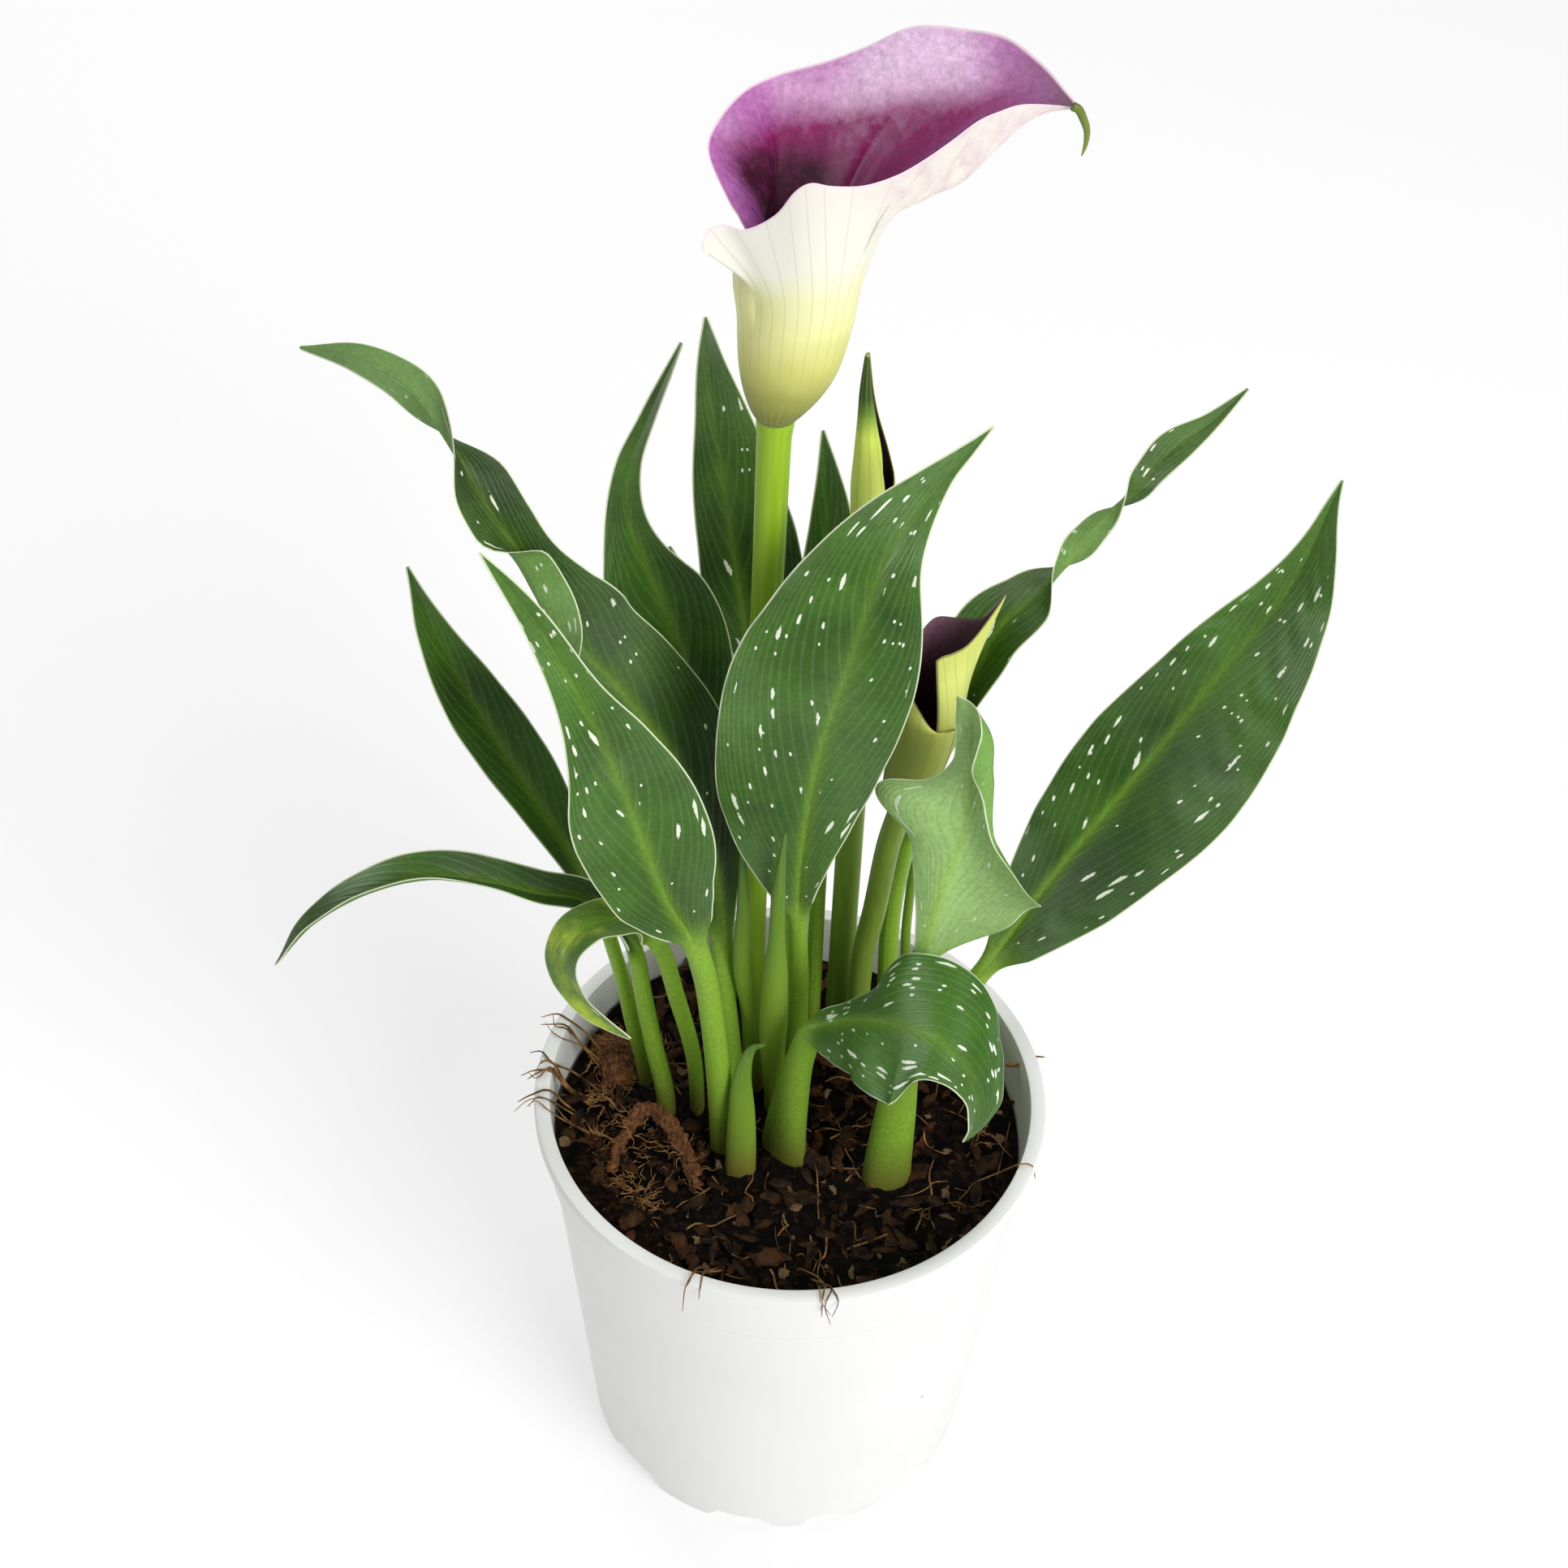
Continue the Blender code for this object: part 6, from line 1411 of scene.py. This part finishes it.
class CALLA_OT_open_bloom(bpy.types.Operator):
    """Make the open bloom: stem, spathe, spadix and the hooked tail of its tip"""
    bl_idname = "calla.open_bloom"
    bl_label = "Open bloom"

    def execute(self, context):
        bloom = BLOOMS["bloom_open"]
        # Of the three blot colours, F0CDEE is the pale painted highlight on the upper inside
        skin = spathe_material(
            "violet spathe", [(0.0, "6E7434"), (0.14, "84883C"), (0.24, "A6A850"), (0.34, "D4D478"),
                              (0.43, "EEEEA4"), (0.54, "EEEEC6"), (0.66, "EDEDDD"), (1.0, "EAE6DE")],
            [(0.0, "2A0A18"), (0.5, "3A0D22"), (0.56, "4E103A"), (0.64, "742262"), (0.76, "9C4C96"),
             (0.9, context.scene.calla_colours.spathe), (1.0, "BE74B6")],
            "B3AE88", "59204A", "EFD9E4", 12.0, "C98DB2", ("F0CDEE", "8E1E62", "3C0822"))
        lofted("open_spathe", closed_spathe(bloom), skin, 80, "bloom", "bloom_open")
        low, high = bloom["stem_radius"]
        stem = tube_form(bloom["stem"] + [(-9.1, 20, 316)],
                         [(0, low), (0.5, 3.3), (0.96, 3.7), (0.985, high), (0.994, 3.6), (1, 1.8)],
                         count=140)
        vivid = stalk_material("vivid bloom stem", [(0.0, "7E9E35"), (0.5, "93B82E"), (1.0, "9DC526")],
                               "7FA22A", roughness=0.35)
        lofted("open_bloom_stem", stem, vivid, 60, "bloom", "bloom_open")
        grid, marks = tube_form([(-8.0, 20, 319), (-7.2, 20, 328), (-6.3, 20, 338), (-5.9, 20, 346),
                                 (-5.6, 20, 352)],
                                [(0, 2.4), (0.5, 2.6), (0.85, 2.3), (0.96, 1.4), (1, 0.5)], 1.0, 60, 120)
        # Rows of small beads stand in for the flowers on the spadix
        row, column = np.indices(grid.shape[:2])
        bead = np.abs(np.sin(row * 0.55)) * np.abs(np.sin(column * math.pi / 5 + (row // 6 % 2) * 1.57))
        middle = grid.mean(axis=1, keepdims=True)
        grid = middle + (grid - middle) * (1 + 0.07 * bead[..., None])
        pale = stalk_material("pale spadix", [(0.0, "E8D48A"), (1.0, "E9C766")], "C99A46")
        lofted("spadix", (grid, marks), pale, 60, "bloom", "bloom_open")
        tail = tube_form([(45.2, 27, 381.1), (46.3, 27, 380.5), (47.5, 27, 378.5), (48.4, 27, 376.2),
                          (48.5, 27, 373.4), (48.0, 27, 370.9)],
                         [(0, 0.9), (0.4, 0.75), (0.8, 0.45), (1, 0.15)], 1.0, 20, 50)
        green = stalk_material("green tail", [(0.0, "6B7A35"), (1.0, "8FA24A")], "5E7030")
        lofted("spathe_tail", tail, green, 60, "bloom", "bloom_open")
        return {"FINISHED"}


class CALLA_OT_young_bloom(bpy.types.Operator):
    """Make the young bloom, whose spathe still wraps over itself, and its stem"""
    bl_idname = "calla.young_bloom"
    bl_label = "Young bloom"

    def execute(self, context):
        bloom = BLOOMS["bloom_young"]
        skin = spathe_material(
            "young green spathe", [(0.0, "6E8A35"), (0.3, "8F9D43"), (0.55, "B9C060"), (0.8, "DDE57C"),
                                   (1.0, "D3DC72")],
            [(0.0, "2A141C"), (0.5, "4C2632"), (0.75, "664050"), (1.0, "7A5567")],
            "7E8A3C", "301722", "6B4F46", 22.0)
        form = sheet_loop(*spathe_middle(bloom, False), 0.6, 1.2, -1)
        lofted("young_spathe", form, skin, 80, "bloom", "bloom_young")
        low, high = bloom["stem_radius"]
        stem = tube_form(bloom["stem"] + [(24.2, 16.6, 212.5)],
                         [(0, low), (0.9, high), (0.96, 2.7), (0.985, 2.2), (1, 1.0)])
        green = stalk_material("young bloom stem", [(0.0, "7A8F3A"), (1.0, "8CA83C")], "63803A")
        lofted("young_bloom_stem", stem, green, 60, "bloom", "bloom_young")
        return {"FINISHED"}


class CALLA_OT_rolled_bloom(bpy.types.Operator):
    """Make the rolled bloom, wound round itself with a slit at the right, and its stem"""
    bl_idname = "calla.rolled_bloom"
    bl_label = "Rolled bloom"

    def execute(self, context):
        skin = spathe_material(
            "rolled green spathe", [(0.0, "C8D66C"), (0.15, "E8F28A"), (0.35, "E8F478"), (0.6, "DAEC64"),
                                    (0.72, "6F9038"), (0.82, "35501F"), (1.0, "1C2818")],
            [(0.0, "4A2A38"), (0.5, "6B4656"), (1.0, "5E5040")], "8FA848", "241018", "C9C37C", 40.0)
        lofted("rolled_spathe", rolled_sheet(), skin, 80, "bud", "bloom_rolled")
        low, high = ROLLED_BLOOM["stem_radius"]
        stem = tube_form(ROLLED_BLOOM["stem"] + [(11.5, 31.5, 275)],
                         [(0, low), (0.9, high), (0.97, 2.6), (0.99, 2.0), (1, 1.0)])
        green = stalk_material("rolled bloom stem", [(0.0, "7C9440"), (0.7, "8FAE42"), (1.0, "B4CC55")],
                               "6F8C36")
        lofted("rolled_bloom_stem", stem, green, 60, "bud", "bloom_rolled")
        return {"FINISHED"}


class CALLA_OT_stage(bpy.types.Operator):
    """Set the plain white floor, the soft studio light and the photograph's camera"""
    bl_idname = "calla.stage"
    bl_label = "Stage"

    def execute(self, context):
        scene = context.scene
        deselect()
        bpy.ops.mesh.primitive_plane_add(size=14.0, location=(0, 0, 0))
        floor = context.object
        floor.name = floor.data.name = "studio_floor"
        # The floor glows a little, so that it reads as white as the photograph's ground
        material, tree, shader = new_material("plain white floor", 0.9, 1.3, 0.0)
        shader.inputs["Base Color"].default_value = (0.6, 0.6, 0.6, 1.0)
        shader.inputs["Emission Color"].default_value = linear(scene.calla_colours.floor)
        shader.inputs["Emission Strength"].default_value = 0.47
        floor.data.materials.append(material)
        for name, (place, aim, size, power) in LIGHTS.items():
            data = bpy.data.lights.new(name, "AREA")
            data.shape = "DISK"
            data.size = size
            data.energy = power
            light = bpy.data.objects.new(name, data)
            scene.collection.objects.link(light)
            light.location = place
            light.visible_diffuse = name != "sheen_light"
            away = Vector(place) - Vector(aim)
            light.rotation_euler = away.to_track_quat("Z", "Y").to_euler()
        world = bpy.data.worlds.new("studio world")
        world.use_nodes = True
        world.node_tree.nodes["Background"].inputs["Color"].default_value = (1.0, 1.0, 1.0, 1.0)
        world.node_tree.nodes["Background"].inputs["Strength"].default_value = 0.25
        scene.world = world
        camera = bpy.data.cameras.new("photo_camera")
        camera.sensor_width = 36.0
        camera.lens = CAMERA_LENS
        camera.clip_start = 0.01
        camera.clip_end = 50.0
        holder = bpy.data.objects.new("photo_camera", camera)
        scene.collection.objects.link(holder)
        holder.matrix_world = (Matrix.Translation(CAMERA_PLACE)
                               @ Matrix.Rotation(math.radians(90 - CAMERA_DIP), 4, "X")
                               @ Matrix.Rotation(math.radians(CAMERA_ROLL), 4, "Z"))
        scene.camera = holder
        scene.view_settings.view_transform = "Standard"
        scene.view_settings.look = "None"
        return {"FINISHED"}


class CALLA_PT_panel(bpy.types.Panel):
    """The steps that build the potted calla lily, in order"""
    bl_label = "Calla Lily"
    bl_idname = "CALLA_PT_panel"
    bl_space_type = "VIEW_3D"
    bl_region_type = "UI"
    bl_category = "Calla Lily"

    def draw(self, context):
        for group in (context.scene.calla_sizes, context.scene.calla_colours):
            for name in group.bl_rna.properties.keys():
                if name not in ("rna_type", "name"):
                    self.layout.prop(group, name)
        for step in STEPS:
            self.layout.operator(step.bl_idname)


STEPS = (CALLA_OT_pot, CALLA_OT_mix, CALLA_OT_coir, CALLA_OT_debris, CALLA_OT_leaves, CALLA_OT_shoots,
         CALLA_OT_open_bloom, CALLA_OT_young_bloom, CALLA_OT_rolled_bloom, CALLA_OT_stage)
CLASSES = (CALLA_PG_sizes, CALLA_PG_colours) + STEPS + (CALLA_PT_panel,)


def register():
    for item in CLASSES:
        bpy.utils.register_class(item)
    bpy.types.Scene.calla_sizes = bpy.props.PointerProperty(type=CALLA_PG_sizes)
    bpy.types.Scene.calla_colours = bpy.props.PointerProperty(type=CALLA_PG_colours)


def unregister():
    del bpy.types.Scene.calla_sizes
    del bpy.types.Scene.calla_colours
    for item in reversed(CLASSES):
        bpy.utils.unregister_class(item)


def main():
    """Register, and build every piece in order."""
    register()
    for step in STEPS:
        group, name = step.bl_idname.split(".")
        getattr(getattr(bpy.ops, group), name)()


if __name__ == "__main__":
    main()
